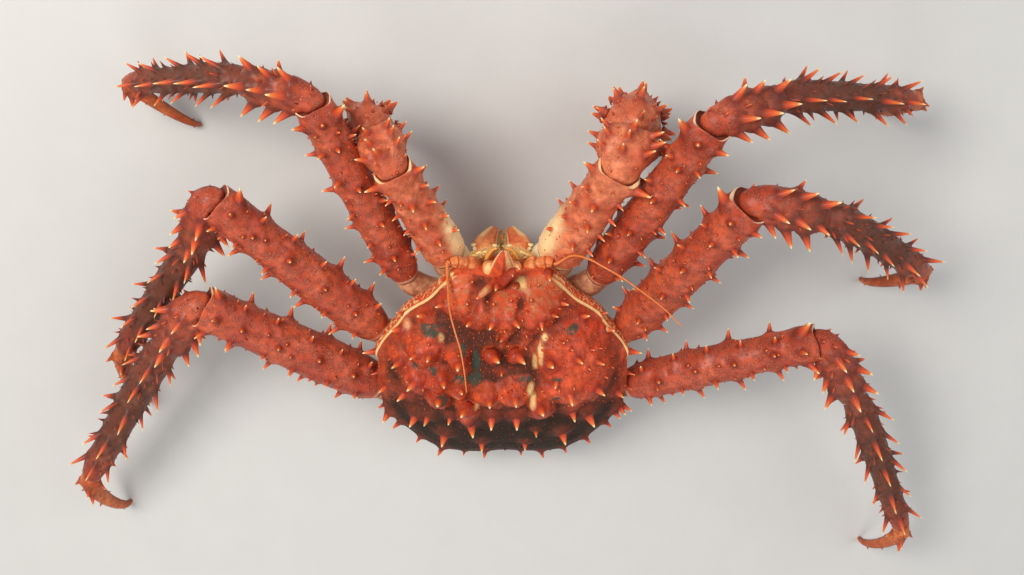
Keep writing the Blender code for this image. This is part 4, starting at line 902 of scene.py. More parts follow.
def addSpines(skin, large, small, ground=None):  # each spine starts in the colours of the shell it stands on
    ground = ground or skin
    groups = ((large, fineSpine), (small[0], plainSpine), *((group, granule) for group in small[1:]))
    for group, shape in groups:
        if len(group["size"]):
            masks = {**groundMasks(ground, group["foot"]), **spineMasks(group, shape)}
            if shape is not fineSpine:
                # small spines in painted shade lose part of their pale tips to it
                masks["tip"] = masks["tip"] * (1 - 0.6 * masks["dusk"]) * (0.72 if shape is granule else 1)
                masks["near"] = masks["near"] * (shape is not granule)
            skin.add(spineRings(group, shape), **masks)
    return skin


def makeCarapace():
    # Rings from the middle of the floor out along the wall to the edge, and over the back to its top.
    # The wall is steep in front, where it shows beside the mouth, and draws in behind.
    spec = carapace
    bearing = np.arange(spec["around"]) / spec["around"] * 360 - 180
    turn = np.radians(bearing)
    radius = marginRadius(bearing)
    edge = stepped(spec["marginHeights"], np.abs(bearing))
    front = 1 - ease(np.abs(bearing), *spec["front"])
    way, behind, ahead = np.array(spec["wall"]).T
    floorRows, wallRows, outerRows, innerRows = spec["rows"]
    reaches, heights = [], []
    for share in np.linspace(0.06, 0.64, floorRows):
        reaches.append(radius * share)
        heights.append(np.full_like(radius, spec["floor"]))
    for level in np.linspace(0, 1, wallRows):
        share = np.interp(level, way, behind) * (1 - front) + np.interp(level, way, ahead) * front
        reaches.append(radius * share)
        heights.append(edge * level + spec["floor"] * (1 - level))
    for share in np.concatenate([np.linspace(0.995, 0.5, outerRows), np.linspace(0.493, 0.01, innerRows)]):
        reach = radius * share
        reaches.append(reach)
        heights.append(backHeight(reach * np.sin(turn), reach * np.cos(turn)))
    reach, z = np.array(reaches), np.array(heights)
    x, f = reach * np.sin(turn), reach * np.cos(turn)
    local = np.stack([x, f, z], -1)
    top = (np.arange(len(reach)) >= floorRows + wallRows)[:, None]
    rings = bodyPlace(local)
    normals = ringNormals(rings)
    crowd = joined([shellSpines, chosen(shellSmall[0], shellSmall[0]["size"] > 2.0 * mm)])
    swell, near = mounds(rings, crowd)
    lumps = sum(rough(local, size, seed) * tall * mm for tall, size, seed in spec["lumps"])
    domes = domeHeight(x, f)
    tall, size, seed = spec["domeLumps"]
    lumps = lumps + rough(local, size, seed) * tall * mm * ease(domes, 2, 6)
    upward = unit(normals + bodyTurn((0, 0, 1.0)))
    rings = rings + upward * swell[..., None] + normals * (lumps * np.where(top, 1.0, 0.35))[..., None]
    share = reach / radius
    raised = ease(domes, 0.8, 3.6)
    fromEdge = np.where(top, (1 - share) * radius, (edge - z) * 1.1)
    # Grooves between the swellings, and the hollows, darkened: partly their own colour, partly painted shade.
    groove = (1 - raised) * (1 - 0.7 * near) * (1 - ease(share, 0.90, 0.99)) * top
    groove = np.maximum(groove, 0.5 * (1 - ease(domes, 3.6, 6.0)) * (1 - near) * top)
    groove = np.maximum(groove, blots(x, f, spec["hollows"]) * top)
    rear, shadeDepth = spec["dark"]
    # Painted shade: the rear slope darkened, less on the swellings and near the spines, and the lower wall
    # behind.
    behind = ease(-f, *rear) * (1 - 0.8 * ease(domes, 2, 5)) * (1 - 0.5 * near)
    dusk = np.clip(np.maximum(behind, ease(-z, 8, 16) * ease(-f, -20, 20)), 0, 1) * shadeDepth
    begins, ends = spec["lineSpan"]
    ahead = ease(np.abs(bearing), *begins) * (1 - ease(np.abs(bearing), *ends))
    line = (1 - ease(fromEdge, *spec["line"])) * ahead
    lace = np.where(top, 0, ease(fromEdge, *spec["lace"])) * ahead
    pale = np.maximum(line, blots(x, f, spec["pales"]) * (0.8 - 0.25 * ease(x, 0, 20)) * top)
    # The front swellings paler on their tops: partly painted highlight, partly their pinker tone.
    start, full, light = spec["clouds"]
    pale = np.maximum(pale, light * ease(f, start, full) * raised * (1 - groove) * top)
    stain = blots(x, f, spec["stains"]) * top
    return Skin().add(rings, near=near, groove=groove, stain=stain, pale=pale, dusk=dusk, lace=lace)


shell = makeCarapace()
shell.make("carapace_shell", finishes["carapace"], "carapace_shell", ("carapace",))
crown = addSpines(Skin(), shellSpines, shellSmall, shell)
crown.make("carapace_spines", finishes["carapace"], "carapace_shell", ("carapace",))
print("carapace made")


# Legs and claws

def raisers(name):  # the spines of a limb that are large enough to raise the shell under them
    small = smallSpines[name][0]
    return joined([largeSpines[name], chosen(small, small["size"] > 2.4 * mm)])


# The rim at a piece's end: (mm from the end, share of the radius). It folds in as a cup for the next piece.
rimShape = (
    (-7, 1.0), (-5, 1.0), (-3.4, 1.005), (-2, 1.015), (-1, 1.02), (-0.3, 1.015), (0, 0.99), (-0.15, 0.965),
    (-0.5, 0.945), (-0.8, 0.90), (-0.8, 0.72), (-0.6, 0.45),
)
rootShape = ((0.5, 0.5), (-0.2, 0.90), (0.1, 1.0), (1.3, 1.02))  # the same from the piece's start
kinds = {
    # Rows along, points round, lumps' height and size in mm, how flared the end is, and its lobes' heights.
    "merus": {"rows": 110, "around": 72, "lumps": (0.34, 5.0), "flare": 1.0, "lobe": 2.6, "condyle": 1.8},
    "arm": {"rows": 80, "around": 72, "lumps": (0.34, 5.0), "flare": 1.0, "lobe": 2.5, "condyle": 2.4},
    "carpus": {"rows": 56, "around": 72, "lumps": (0.40, 4.0), "flare": 0.8, "lobe": 1.6, "condyle": 1.6},
    "wrist": {"rows": 50, "around": 80, "lumps": (0.45, 4.0), "flare": 0.6, "lobe": 1.2, "condyle": 1.2},
    "propodus": {"rows": 96, "around": 60, "lumps": (0.26, 4.0), "flare": 0.6, "lobe": 1.0, "condyle": 0.8},
    "palm": {"rows": 70, "around": 80, "lumps": (0.40, 4.0), "flare": 0.0, "lobe": 0.0, "condyle": 0.0},
    "dactyl": {"rows": 60, "around": 40, "lumps": (0.10, 3.0), "flare": 0.0, "lobe": 0.0, "condyle": 0.0},
    "hip": {"rows": 44, "around": 56, "lumps": (0.20, 5.0), "flare": 0.0, "lobe": 0.0, "condyle": 0.0},
}


limbPaint = {
    "rim": (-0.2, 0.6),  # the pale rim: its middle from the end and its half width, in mm
    "condyle": (-2.2, 2.2, -1.8, 0.28),  # the pale spot behind it: the same in mm, then round in radians
    "root": (2.5, 2.0, 0.5),  # the pale ring at the start of a long piece, and how pale
    "inner": (1.25, 0.95),  # the pale inner face of a claw's arm, in radians from the top
}


def limbShade(kind, t):  # how dark each kind of piece is along its way: partly painted shade, partly the carpus's and propodus's own darker tone
    if kind == "carpus":
        return 0.6 * ease(t, 0.1, 1.0)
    if kind == "propodus":
        return 0.65 + 0.17 * ease(t, 0.1, 0.4) - 0.6 * ease(t, 0.7, 1)
    return 0 * t


def limbSkin(name, kind):
    # A tube from a rounded root to a flared rim that folds in as a cup for the next piece. The rim reaches
    # further on the dorsal side and at both condyles, and the shell swells under its spines.
    span, spec, paint = spans[name], kinds[kind], limbPaint
    length = span.length / mm
    root, rim = np.array(rootShape), np.array(rimShape)
    turn = np.linspace(0, 2 * np.pi, spec["around"], endpoint=False)
    side = np.abs(np.sin(turn))
    lobes = spec["lobe"] * bell(np.sin(turn / 2), 0, 0.38) + spec["condyle"] * bell(side, 1, 0.16)
    body = np.linspace(root[-1, 0] + 1, length + rim[0, 0] - 1, spec["rows"])
    along = np.concatenate([root[:, 0], body, length + rim[:, 0]])
    flare = 1 + (rim[:, 1] - 1) * np.where(rim[:, 1] > 1, spec["flare"], 1)
    scale = np.concatenate([root[:, 1], np.ones(len(body)), flare])
    reach = np.concatenate([np.zeros(len(root)), ease(body, length * 0.8, length), np.ones(len(rim))])
    reach[-4:] = (0.9, 0.6, 0.3, 0.0)
    t = (along[:, None] + lobes * reach[:, None]) / length
    rings = span.surface(t, turn[None], scale[:, None])
    normals = ringNormals(rings)
    local = rings / mm
    tall, size = spec["lumps"]
    shown = np.concatenate([np.zeros(len(root)), np.ones(len(body) + 6), np.zeros(len(rim) - 6)])[:, None]
    swell, near = 0.0, np.zeros(rings.shape[:2])
    if name in largeSpines:
        swell, near = mounds(rings, raisers(name))
    lumps = (rough(local, size, 2) * tall + rough(local, 1.5, 4) * tall * 0.3) * mm
    rings = rings + normals * ((lumps + swell) * shown)[..., None]
    end = along[:, None] - length
    rear = around(turn) * sides[name.split("_")[1][0]]
    pale = bell(end, *paint["rim"]) * (0.2 + 0.6 * bell(side, 1, 0.35)) * (spec["flare"] > 0)
    place, wide, toRear, spread = paint["condyle"]
    pale = pale + bell(end, place, wide) * bell(rear, toRear, spread) * (kind in ("merus", "arm", "carpus"))
    place, wide, light = paint["root"]
    pale = pale + bell(along[:, None], place, wide) * light * (kind in ("merus", "arm"))
    # The rim's inward fold: no pale there, and darkened as painted shade inside the cup.
    inside = [np.zeros(len(root) + len(body) + 7), np.linspace(0.6, 1, len(rim) - 7)]
    inside = np.concatenate(inside)[:, None]
    pale = pale * (1 - inside)
    # painted shade on each piece's underside, and along its way as given above
    dusk = np.maximum(ease(-np.cos(turn), 0.1, 0.9) * 0.5, limbShade(kind, np.clip(t, 0, 1)))
    if name.startswith("claw") and kind in ("arm", "hip"):
        inner = bell(rear, *paint["inner"])
        pale = pale + inner * (1 - ease(t, 0.15, 0.75) if kind == "arm" else 1.0) * 0.95
    return Skin().add(rings, near=near, pale=np.clip(pale, 0, 1), groove=inside * 0.9 + 0 * t, dusk=dusk)


slots = {"merus": "leg_shell", "carpus": "leg_shell", "propodus": "leg_shell", "dactyl": "dactyl_tip",
         "hip": "pale_underside", "arm": "claw_shell", "wrist": "claw_shell", "palm": "claw_shell"}
looks = {"merus": "leg", "carpus": "leg", "propodus": "leg", "dactyl": "dactyl", "hip": "underside",
         "arm": "claw", "wrist": "claw", "palm": "claw"}
clawKinds = {"merus": "arm", "carpus": "wrist", "palm": "palm", "hip": "hip"}
for name in spans:
    part = name.split("_")[-1]
    kind = clawKinds[part] if name.startswith("claw") else part
    if kind == "palm":
        continue
    skin = limbSkin(name, kind)
    if name in largeSpines:
        addSpines(skin, largeSpines[name], smallSpines[name])
    skin.make(name + "_shell", finishes[looks[kind]], slots[kind], (name,))
print("legs made")


# Fingers: (share of the length, then over the claw's half: distance from its axis, half height, half width).
fingerRows = (
    (0, 0.47, 0.40, 0.42), (0.3, 0.42, 0.34, 0.38), (0.6, 0.33, 0.26, 0.30), (0.85, 0.20, 0.15, 0.20),
    (1, 0.09, 0.06, 0.08),
)
# Sunk is the share in the palm, and moving the length of the moving finger over the fixed one.
finger = {"rows": 50, "around": 40, "sunk": 0.12, "moving": 0.97}
toothSizes = ((0, 0.5, 1), (2.2, 1.8, 1.0), 17.5)  # shares of the length, sizes in mm, for this half claw
tuft = {"count": 26, "bristles": 5, "sizes": (1.6, 3.2), "radius": 0.12}  # in mm


def fingerSpan(claw, flip):
    # Ellipses about a path beside the palm's axis that nears it at the tip, with a rounded end.
    share = np.linspace(-finger["sunk"], 1, finger["rows"])
    held = np.clip(share, 0, 1)
    middle, tall, thick = (curved([(row[0], row[k]) for row in fingerRows], held) for k in (1, 2, 3))
    length = claw["finger"] * (finger["moving"] if flip > 0 else 1.0)
    cross = np.cross(claw["axis"], claw["open"])
    centre = claw["base"] + claw["axis"] * (share * length * mm)[:, None]
    centre = centre + claw["open"] * (flip * middle * claw["half"] * mm)[:, None]
    turn = np.linspace(0, 2 * np.pi, finger["around"], endpoint=False)
    cap = np.minimum(1, np.sqrt(np.clip((1.0 - share) / 0.06, 0.02, 1))) * claw["half"] * mm
    ring = cross * np.sin(turn)[:, None] * (thick * cap)[:, None, None]
    ring = ring + claw["open"] * np.cos(turn)[:, None] * (tall * cap)[:, None, None]
    return centre[:, None] + ring, share


def fingerTeeth(claw, flip):  # blunt pale teeth on the finger's line that faces the other one
    share = np.linspace(0.12, 0.92, 9)
    rings, places = fingerSpan(claw, flip)
    last = len(places) - 1
    row = np.clip(((share + finger["sunk"]) / (1 + finger["sunk"]) * last).astype(int), 0, last)
    foot = rings[row, finger["around"] // 2 if flip > 0 else 0]
    shares, sizes, half = toothSizes
    size = np.interp(share, shares, sizes) * mm * claw["half"] / half
    inward = np.tile(-flip * claw["open"], (len(share), 1))
    return spineSet(foot + claw["open"] * flip * 0.3 * mm, inward, size, size * 0.75)


def tufts(claw, flip, seed):  # bundles of stiff golden bristles along a finger
    dice, many = np.random.default_rng(seed), tuft["bristles"]
    rings, _ = fingerSpan(claw, flip)
    row, side = dice.integers(8, 46, tuft["count"]), dice.integers(0, finger["around"], tuft["count"])
    foot = rings[row, side]
    out = unit(foot - rings[row].mean(1))
    total = tuft["count"] * many
    feet = np.repeat(foot, many, 0) + dice.normal(0, 0.25, (total, 3)) * mm
    ways = unit(np.repeat(out, many, 0) + claw["axis"] * 0.9 + dice.normal(0, 0.22, (total, 3)))
    size = dice.uniform(*tuft["sizes"], total) * mm
    return spineSet(feet, ways, size, np.full(total, tuft["radius"] * mm))


def makeChela(key):
    # The palm is a limb's tube pressed thinner across, with both ends rounded, and the fixed finger is on it.
    claw, name = chelae[key], f"claw_{key}_palm"
    span, spec = spans[name], kinds["palm"]
    along = [[0.02, 0.0, 0.005, 0.015], np.linspace(0.03, 0.97, spec["rows"]), [0.985, 0.995, 1.0]]
    along = np.concatenate(along)
    scale = np.concatenate([[0.5, 0.78, 0.93, 1.0], np.ones(spec["rows"]), [0.97, 0.88, 0.62]])
    turn = np.linspace(0, 2 * np.pi, spec["around"], endpoint=False)
    rings = span.surface(along[:, None], turn[None], scale[:, None])
    point, tangent, across, dorsal = span.frame(along)
    tall = curved([(row[0], row[1]) for row in palmRun], along)
    thick = curved([(row[0], row[2]) for row in palmRun], along)
    side = ((rings - point[:, None]) * across[:, None]).sum(-1, keepdims=True)
    rings = rings - across[:, None] * side * (1 - thick / tall)[:, None, None]
    normals = ringNormals(rings)
    swell, near = mounds(rings, raisers(name))
    shown = np.concatenate([np.zeros(4), np.ones(spec["rows"]), np.zeros(3)])[:, None]
    height, size = spec["lumps"]
    lumps = rough(rings / mm, size, 2) * height * mm
    rings = rings + normals * ((swell + lumps) * shown)[..., None]
    # painted shade on the palm's underside
    skin = Skin().add(rings, near=near, dusk=ease(-np.cos(turn), 0.3, 1) * 0.3)
    fixed, share = fingerSpan(claw, -1)
    paleTip = ease(share, 0.75, 1.0)[:, None] * 0.5
    skin.add(fixed, pale=paleTip)
    addSpines(skin, largeSpines[name], smallSpines[name])
    skin.make(name + "_shell", finishes["claw"], "claw_shell", (name,))
    moving, _ = fingerSpan({**claw, "base": claw["base"] + claw["axis"] * Limb.gap}, 1)
    movingName = f"claw_{key}_finger"
    skin = Skin().add(moving, pale=paleTip)
    skin.make(movingName + "_shell", finishes["claw"], "claw_finger", (movingName,))
    for flip, node in ((-1, name), (1, movingName)):
        teeth = Skin().add(spineRings(fingerTeeth(claw, flip), granule))
        teeth.make(node + "_teeth", finishes["tooth"], "claw_finger", (node,))
        hairs = Skin().add(spineRings(tufts(claw, flip, 40 + flip), bristle))
        hairs.make(node + "_bristles", finishes["bristle"], "claw_finger", (node,))


for key in sides:
    makeChela(key)
print("claws made")


# Head

# Paths of its pieces from the shell's middle, in mm, and the ways they leave and land.
head = {
    "rostrum": {"root": (3.5, 45, 1), "end": (-7.6, 62.5, 11), "leave": (0.1, 0.8, 0.9),
                "land": (-0.75, 0.65, 0.0), "girth": 2.7, "press": 1.1,
                "run": ((0, 1.5), (0.4, 1.15), (0.7, 0.95), (0.9, 0.85), (1, 0.6))},
    "keel": {"root": (0, 45, -1), "end": (-1.2, 70, 3), "leave": (0, 1, 0.1), "land": (0, 1, 0.2),
             "girth": 6.2, "press": 0.86,
             "run": ((0, 1.1), (0.35, 1.0), (0.7, 0.66), (0.92, 0.32), (1, 0.16))},
    "mouth": {"root": (0, 30, -26), "end": (0, 55, -40), "leave": (0, 1, 0), "land": (0, 0.2, -1),
              "girth": 3.2, "press": 1.5, "run": ((0, 1.0), (0.6, 1.0), (0.9, 0.7), (1, 0.45))},
    "eye": {"root": (6.5, 43, -3.5), "end": (7.0, 60, -1.5), "leave": (0.05, 1, 0.1), "land": (0.1, 1, 0.1),
            "girth": 3.8, "run": (
                (0, 0.7), (0.45, 0.82), (0.62, 0.96), (0.74, 1.0), (0.88, 0.92), (0.96, 0.70), (1, 0.4))},
    "lens": {"root": (8.0, 55.5, -4.6), "end": (9.0, 59.2, -5.2), "leave": (0.3, 1, -0.1),
             "land": (0.3, 1, -0.1), "girth": 2.2,
             "run": ((0, 0.5), (0.25, 0.88), (0.55, 1.0), (0.8, 0.82), (0.94, 0.5), (1, 0.2))},
    "antenna": {"root": (11, 46, -8), "end": (27.5, 59, -3), "leave": (0.3, 1, 0.1), "land": (1, -0.2, 0.2),
                "girth": 4.6,
                "run": ((0, 1.0), (0.35, 1.05), (0.58, 1.0), (0.64, 0.72), (0.80, 0.70), (1, 0.50))},
    "antennule": {"root": (9, 43, -10), "end": (2.4, 65, -8), "leave": (0.2, 1, 0.1), "land": (-1, 0.25, 0.2),
                  "girth": 1.4, "run": ((0, 1.0), (0.5, 0.95), (0.75, 0.75), (1, 0.45))},
    "maxilliped": {"root": (10, 32, -26), "end": (9.4, 56, -26), "leave": (0, 1, 0.2),
                   "land": (-0.1, 0.4, -0.9), "girth": 5.4, "press": 0.85,
                   "run": ((0, 0.8), (0.5, 0.86), (0.72, 0.92), (0.9, 1.0), (1, 0.95))},
    "palp": {"end": (4.6, 57, -45), "land": (-0.25, 0.1, -1), "girth": 4.2, "leave": 0.7, "press": 0.6,
             "run": ((0, 1.0), (0.3, 0.85), (0.6, 0.66), (0.85, 0.48), (1, 0.36))},
    "exopod": {"root": (17, 56, -12), "end": (1.5, 62.5, -12), "leave": (-0.3, 0.8, 0.3),
               "land": (-1, 0.1, -0.1), "girth": 1.2, "run": ((0, 1.0), (0.5, 0.8), (1, 0.4))},
}
# Places on each feeler from the shell's middle: the left one lies over the back, the right one aside. Then
# its first straight length, radius, thinning to the tip, joint length, ring height, thicker base and reach.
feelers = {
    "l": ((29, 53, 5.5), (27.5, 45, 21.5), (24.5, 37.5, 31), (21.5, 30, 37.5), (19.5, 19, 42), (18.5, 7, 44)),
    "r": ((37, 65, 0), (45, 67, 6), (54, 65, 12), (65, 60, 16.5), (84, 47.5, 23), (95, 37, 26)),
    "stub": 2.0, "radius": 0.64, "thinning": 0.45, "joint": 1.3, "ring": 0.09, "base": 0.8, "baseReach": 6,
}
# Spines of the rostrum: (foot, tip, root radius), then the thick bowed horn at its left.
rostrumSpines = (
    ((-5.5, 60.5, 10), (-5.9, 62.5, 17), 1.6), ((2.2, 52, 8), (3.2, 55.5, 20), 2.4),
    ((-8, 50.5, 7), (-6.9, 53.8, 15), 1.6), ((-7.6, 61.5, 10), (-9.5, 65, 13), 1.8),
)
rostrumHorns = (((4.4, 52.5, 8), (13.2, 49.1, 18), 2.1),)
horn = {
    "shares": (-0.2, 0.0, 0.15, 0.3, 0.45, 0.6, 0.75, 0.88, 0.96, 1.0),
    "radii": (1.2, 1.0, 1.0, 1.0, 0.96, 0.88, 0.72, 0.50, 0.28, 0.08), "sides": 14,
    "bow": 2.2, "pale": 0.42,  # how far it bows up, in mm, and how pale it is
}
# Large spines of the antenna: (share of its length, degrees from the top, length in mm).
antennaSpines = (
    (0.36, 95, 4.5), (0.55, 70, 4.0), (0.50, 135, 4.0), (0.25, 150, 3.0), (0.45, -20, 2.0), (0.9, 80, 3.0),
)
# Bristles: how many, first and last share, first and last turn, lengths in mm, slimness, and their lean.
palpFringe = (220, (0.1, 0.95), (1.1, 2.0), (1.6, 3.4), 0.03, (0.2, 1.2))
whipFringe = (420, (0.05, 1.0), (-2.4, 2.4), (1.4, 3.4), 0.05, (0.3, 1.4))


def headSpan(spec, side=1):  # a piece of the head as a limb of one span
    limb = Limb(bodyPlace(spec["root"], side), bodyTurn(spec["leave"], side))
    stop, arrive = bodyPlace(spec["end"], side), unit(bodyTurn(spec["land"], side))
    return limb, limb.sweep(stop, arrive, spec["run"], spec["girth"], press=spec.get("press", 1.0))


def tube(span, rows, count, carve=None):
    # The span's tube with count points round and a rounded end at each, and carve(t, turn) as a scale.
    t = np.concatenate([[0, 0.004], np.linspace(0.02, 0.97, rows), [0.988, 0.997, 1.0]])
    ends = np.concatenate([[0.5, 0.85], np.ones(rows), [0.93, 0.72, 0.42]])
    turn = np.linspace(0, 2 * np.pi, count, endpoint=False)
    scale = ends[:, None] * (1.0 if carve is None else carve(t[:, None], turn[None]))
    return span.surface(t[:, None], turn[None], scale), t, turn


def keelShape(t, turn):  # a roof with a sharp top and two sharp sides
    top, edges = bell(np.sin(turn / 2), 0, 0.14), bell(np.abs(np.sin(turn)), 1, 0.12)
    return 0.92 + 0.30 * top + 0.18 * edges + 0 * t


def eyeShape(t, turn):  # nearly square
    return 1 + 0.07 * np.abs(np.sin(2 * turn)) + 0 * t


def jointed(breaks, depth, width, box=0.0):  # a scale with a groove at each break, and a boxy cross-section
    def carve(t, turn):
        grooves = sum(bell(t, place, width) for place in breaks)
        return (1 - depth * grooves) * (1 + box * (np.abs(np.sin(2 * turn)) - 0.4))
    return carve


def grained(rings, tall, size, seed=5):  # the same rings with fine lumps along their normals
    return rings + ringNormals(rings) * (rough(rings / mm, size, seed) * tall * mm)[..., None]


def fromTo(rows):  # spines of the head given by their foot and tip, from the shell's middle
    foot, tip, root = (np.array(v, float) for v in zip(*rows))
    foot, tip = bodyPlace(foot), bodyPlace(tip)
    return spineSet(foot, tip - foot, np.linalg.norm(tip - foot, axis=-1), root * mm)


def fringe(span, spec, side, dice):  # bristles at random places on a span
    count, shares, turns, sizes, slim, leans = spec
    share, turn = dice.uniform(*shares, count), side * dice.uniform(*turns, count)
    hairs = standing(span, share, turn, dice.uniform(*sizes, count) * mm, slim, dice.uniform(*leans, count))
    return spineRings(hairs, bristle)


def makeRostrum():
    # The ridge, then under it the keel: a dark line down its middle, its left side red, its right one pale.
    _, ridge = headSpan(head["rostrum"])
    rings, t, turn = tube(ridge, 60, 40)
    skin = Skin().add(grained(rings, 0.35, 2.6), near=0.75 + 0.15 * ease(t, 0.3, 0.9)[:, None])
    _, keel = headSpan(head["keel"])
    rings, t, turn = tube(keel, 60, 72, keelShape)
    turn = around(turn)
    line = bell(turn, 0.0, 0.09) * ease(t, 0.15, 0.4)[:, None]
    facet = 0.5 * ease(turn, 0.12, 0.3) * (1 - ease(turn, 0.9, 1.2))
    light = (facet + 0.8 * bell(np.abs(turn), 1.35, 0.20)) * ease(t, 0.2, 0.5)[:, None]
    skin.add(grained(rings, 0.2, 2.0), near=line, pale=np.clip(light - line, 0, 1))
    large = fromTo(rostrumSpines)
    skin.add(spineRings(large, fineSpine), **spineMasks(large, fineSpine))
    share = np.clip(np.array(horn["shares"]), 0, 1)
    bow = np.sin(np.pi * share)[:, None, None] * bodyTurn((0, 0.6, 1.0)) * horn["bow"] * mm
    light = horn["pale"] * ease(share, 0.05, 0.35)[:, None]
    tip = 0.2 + 0.7 * ease(share, 0.80, 1.0)[:, None]
    skin.add(spineRings(fromTo(rostrumHorns), horn) + bow, tip=tip, pale=light)
    return skin.make("rostrum", finishes["carapace"], "carapace_shell", ("carapace",))


def makeFeeler(key, start, tangent):
    # A tube along a smooth curve through the feeler's places, ringed by short joints: its radius
    # thins to the tip, is thicker at the base and waves once a joint.
    spec, side = feelers, sides[key]
    places = [start + tangent * 0.3 * mm, start + tangent * spec["stub"] * mm]
    places = np.array(places + [bodyPlace(place, side) for place in spec[key]])
    ends = np.concatenate([[2 * places[0] - places[1]], places, [2 * places[-1] - places[-2]]])
    path = []
    for p0, p1, p2, p3 in zip(ends, ends[1:], ends[2:], ends[3:]):
        t = np.linspace(0, 1, 40, endpoint=False)[:, None]
        bend = (2 * p0 - 5 * p1 + 4 * p2 - p3) * t**2 + (3 * p1 - p0 - 3 * p2 + p3) * t**3
        path.append(p1 + ((p2 - p0) * t + bend) / 2)
    path = np.concatenate([*path, places[-1:]])
    run = np.concatenate([[0], np.cumsum(np.linalg.norm(np.diff(path, axis=0), axis=1))])
    s = np.linspace(0, run[-1], int(run[-1] / (spec["joint"] * mm) * 4))
    path = np.stack([np.interp(s, run, path[:, k]) for k in range(3)], -1)
    way = unit(np.gradient(path, axis=0))
    across = unit(np.cross(way, (0.3, 0.2, 1.0)))
    up = np.cross(way, across)
    share, wave = s / run[-1], np.cos(2 * np.pi * s / (spec["joint"] * mm))
    radius = spec["radius"] * (1 - spec["thinning"] * share) * (1 + spec["ring"] * wave)
    radius = radius * (1 + spec["base"] * np.exp(-s / (spec["baseReach"] * mm)))
    radius = radius * np.sqrt(np.clip((1 - share) / 0.01, 0.05, 1))
    turn = np.linspace(0, 2 * np.pi, 12, endpoint=False)
    circle = np.cos(turn)[None, :, None] * across[:, None] + np.sin(turn)[None, :, None] * up[:, None]
    rings = path[:, None] + circle * (radius * mm)[:, None, None]
    skin = Skin().add(rings, groove=(0.5 - 0.5 * wave)[:, None])
    skin.make(f"flagellum_{key}_whip", finishes["feeler"], "feelers", (f"flagellum_{key}",))


def makeEye(key, side):
    # A stalk whose pale top reaches out like a shield over a small dark lens at its outer end.
    _, span = headSpan(head["eye"], side)
    rings, t, turn = tube(span, 50, 48, eyeShape)
    turn = around(turn) * side
    top = bell(turn, 0.1, 1.0)
    seam = bell(turn, 0.35, 0.10) * ease(t, 0.55, 0.7)[:, None]
    # a band of painted shade across its top where the pale shield begins
    shade = bell(t, 0.54, 0.05)[:, None] * top
    pale = top * ease(t, 0.5, 0.6)[:, None] * (1 - 0.8 * seam)
    skin = Skin().add(grained(rings, 0.2, 2.0), pale=pale, dusk=shade)
    places, turns, sizes = np.array([0.62, 0.60]), side * np.array([0.55, -0.5]), np.array([2.6, 1.6]) * mm
    points = standing(span, places, turns, sizes, 0.36, np.array([-0.6, -0.6]))
    skin.add(spineRings(points, fineSpine), **spineMasks(points, fineSpine))
    skin.make(f"eye_{key}_stalk", finishes["mouth"], "mouthparts", (f"eye_{key}",))
    _, span = headSpan(head["lens"], side)
    rings, t, turn = tube(span, 30, 40)
    Skin().add(rings).make(f"eye_{key}_lens", finishes["eye"], "dark_eye", (f"eye_{key}",))


def makeAntenna(key, side):
    # A boxy basal joint with a pale upper edge and spines, two slimmer joints, then the whip.
    limb, span = headSpan(head["antenna"], side)
    breaks = (0.30, 0.61, 0.82)
    rings, t, turn = tube(span, 70, 56, jointed(breaks, 0.18, 0.016, 0.16))
    groove = sum(bell(t, place, 0.02) for place in breaks)[:, None]
    turn = around(turn) * side
    # paler along its upper edge and front: partly painted highlight, partly its own cream edge
    front = bell(turn, -0.9, 0.5) * 0.8 + bell(turn, 0.5, 0.25) * 0.35
    pale = np.clip(front * (1 - groove), 0, 1)
    skin = Skin().add(grained(rings, 0.25, 2.5), groove=groove * 0.8, pale=pale)
    share, turn, size = np.array(antennaSpines).T
    spines = standing(span, share, np.radians(-side * turn), size * mm, 0.3, np.full(len(share), 0.8))
    skin.add(spineRings(spines, fineSpine), **spineMasks(spines, fineSpine))
    skin.make(f"antenna_{key}_peduncle", finishes["mouth"], "mouthparts", (f"antenna_{key}",))
    makeFeeler(key, limb.end, limb.tangent)
    _, span = headSpan(head["antennule"], side)
    rings, t, turn = tube(span, 70, 28, jointed((0.3, 0.55, 0.8), 0.2, 0.02))
    Skin().add(rings).make(f"antennule_{key}_stem", finishes["antennule"], "feelers", (f"antennule_{key}",))


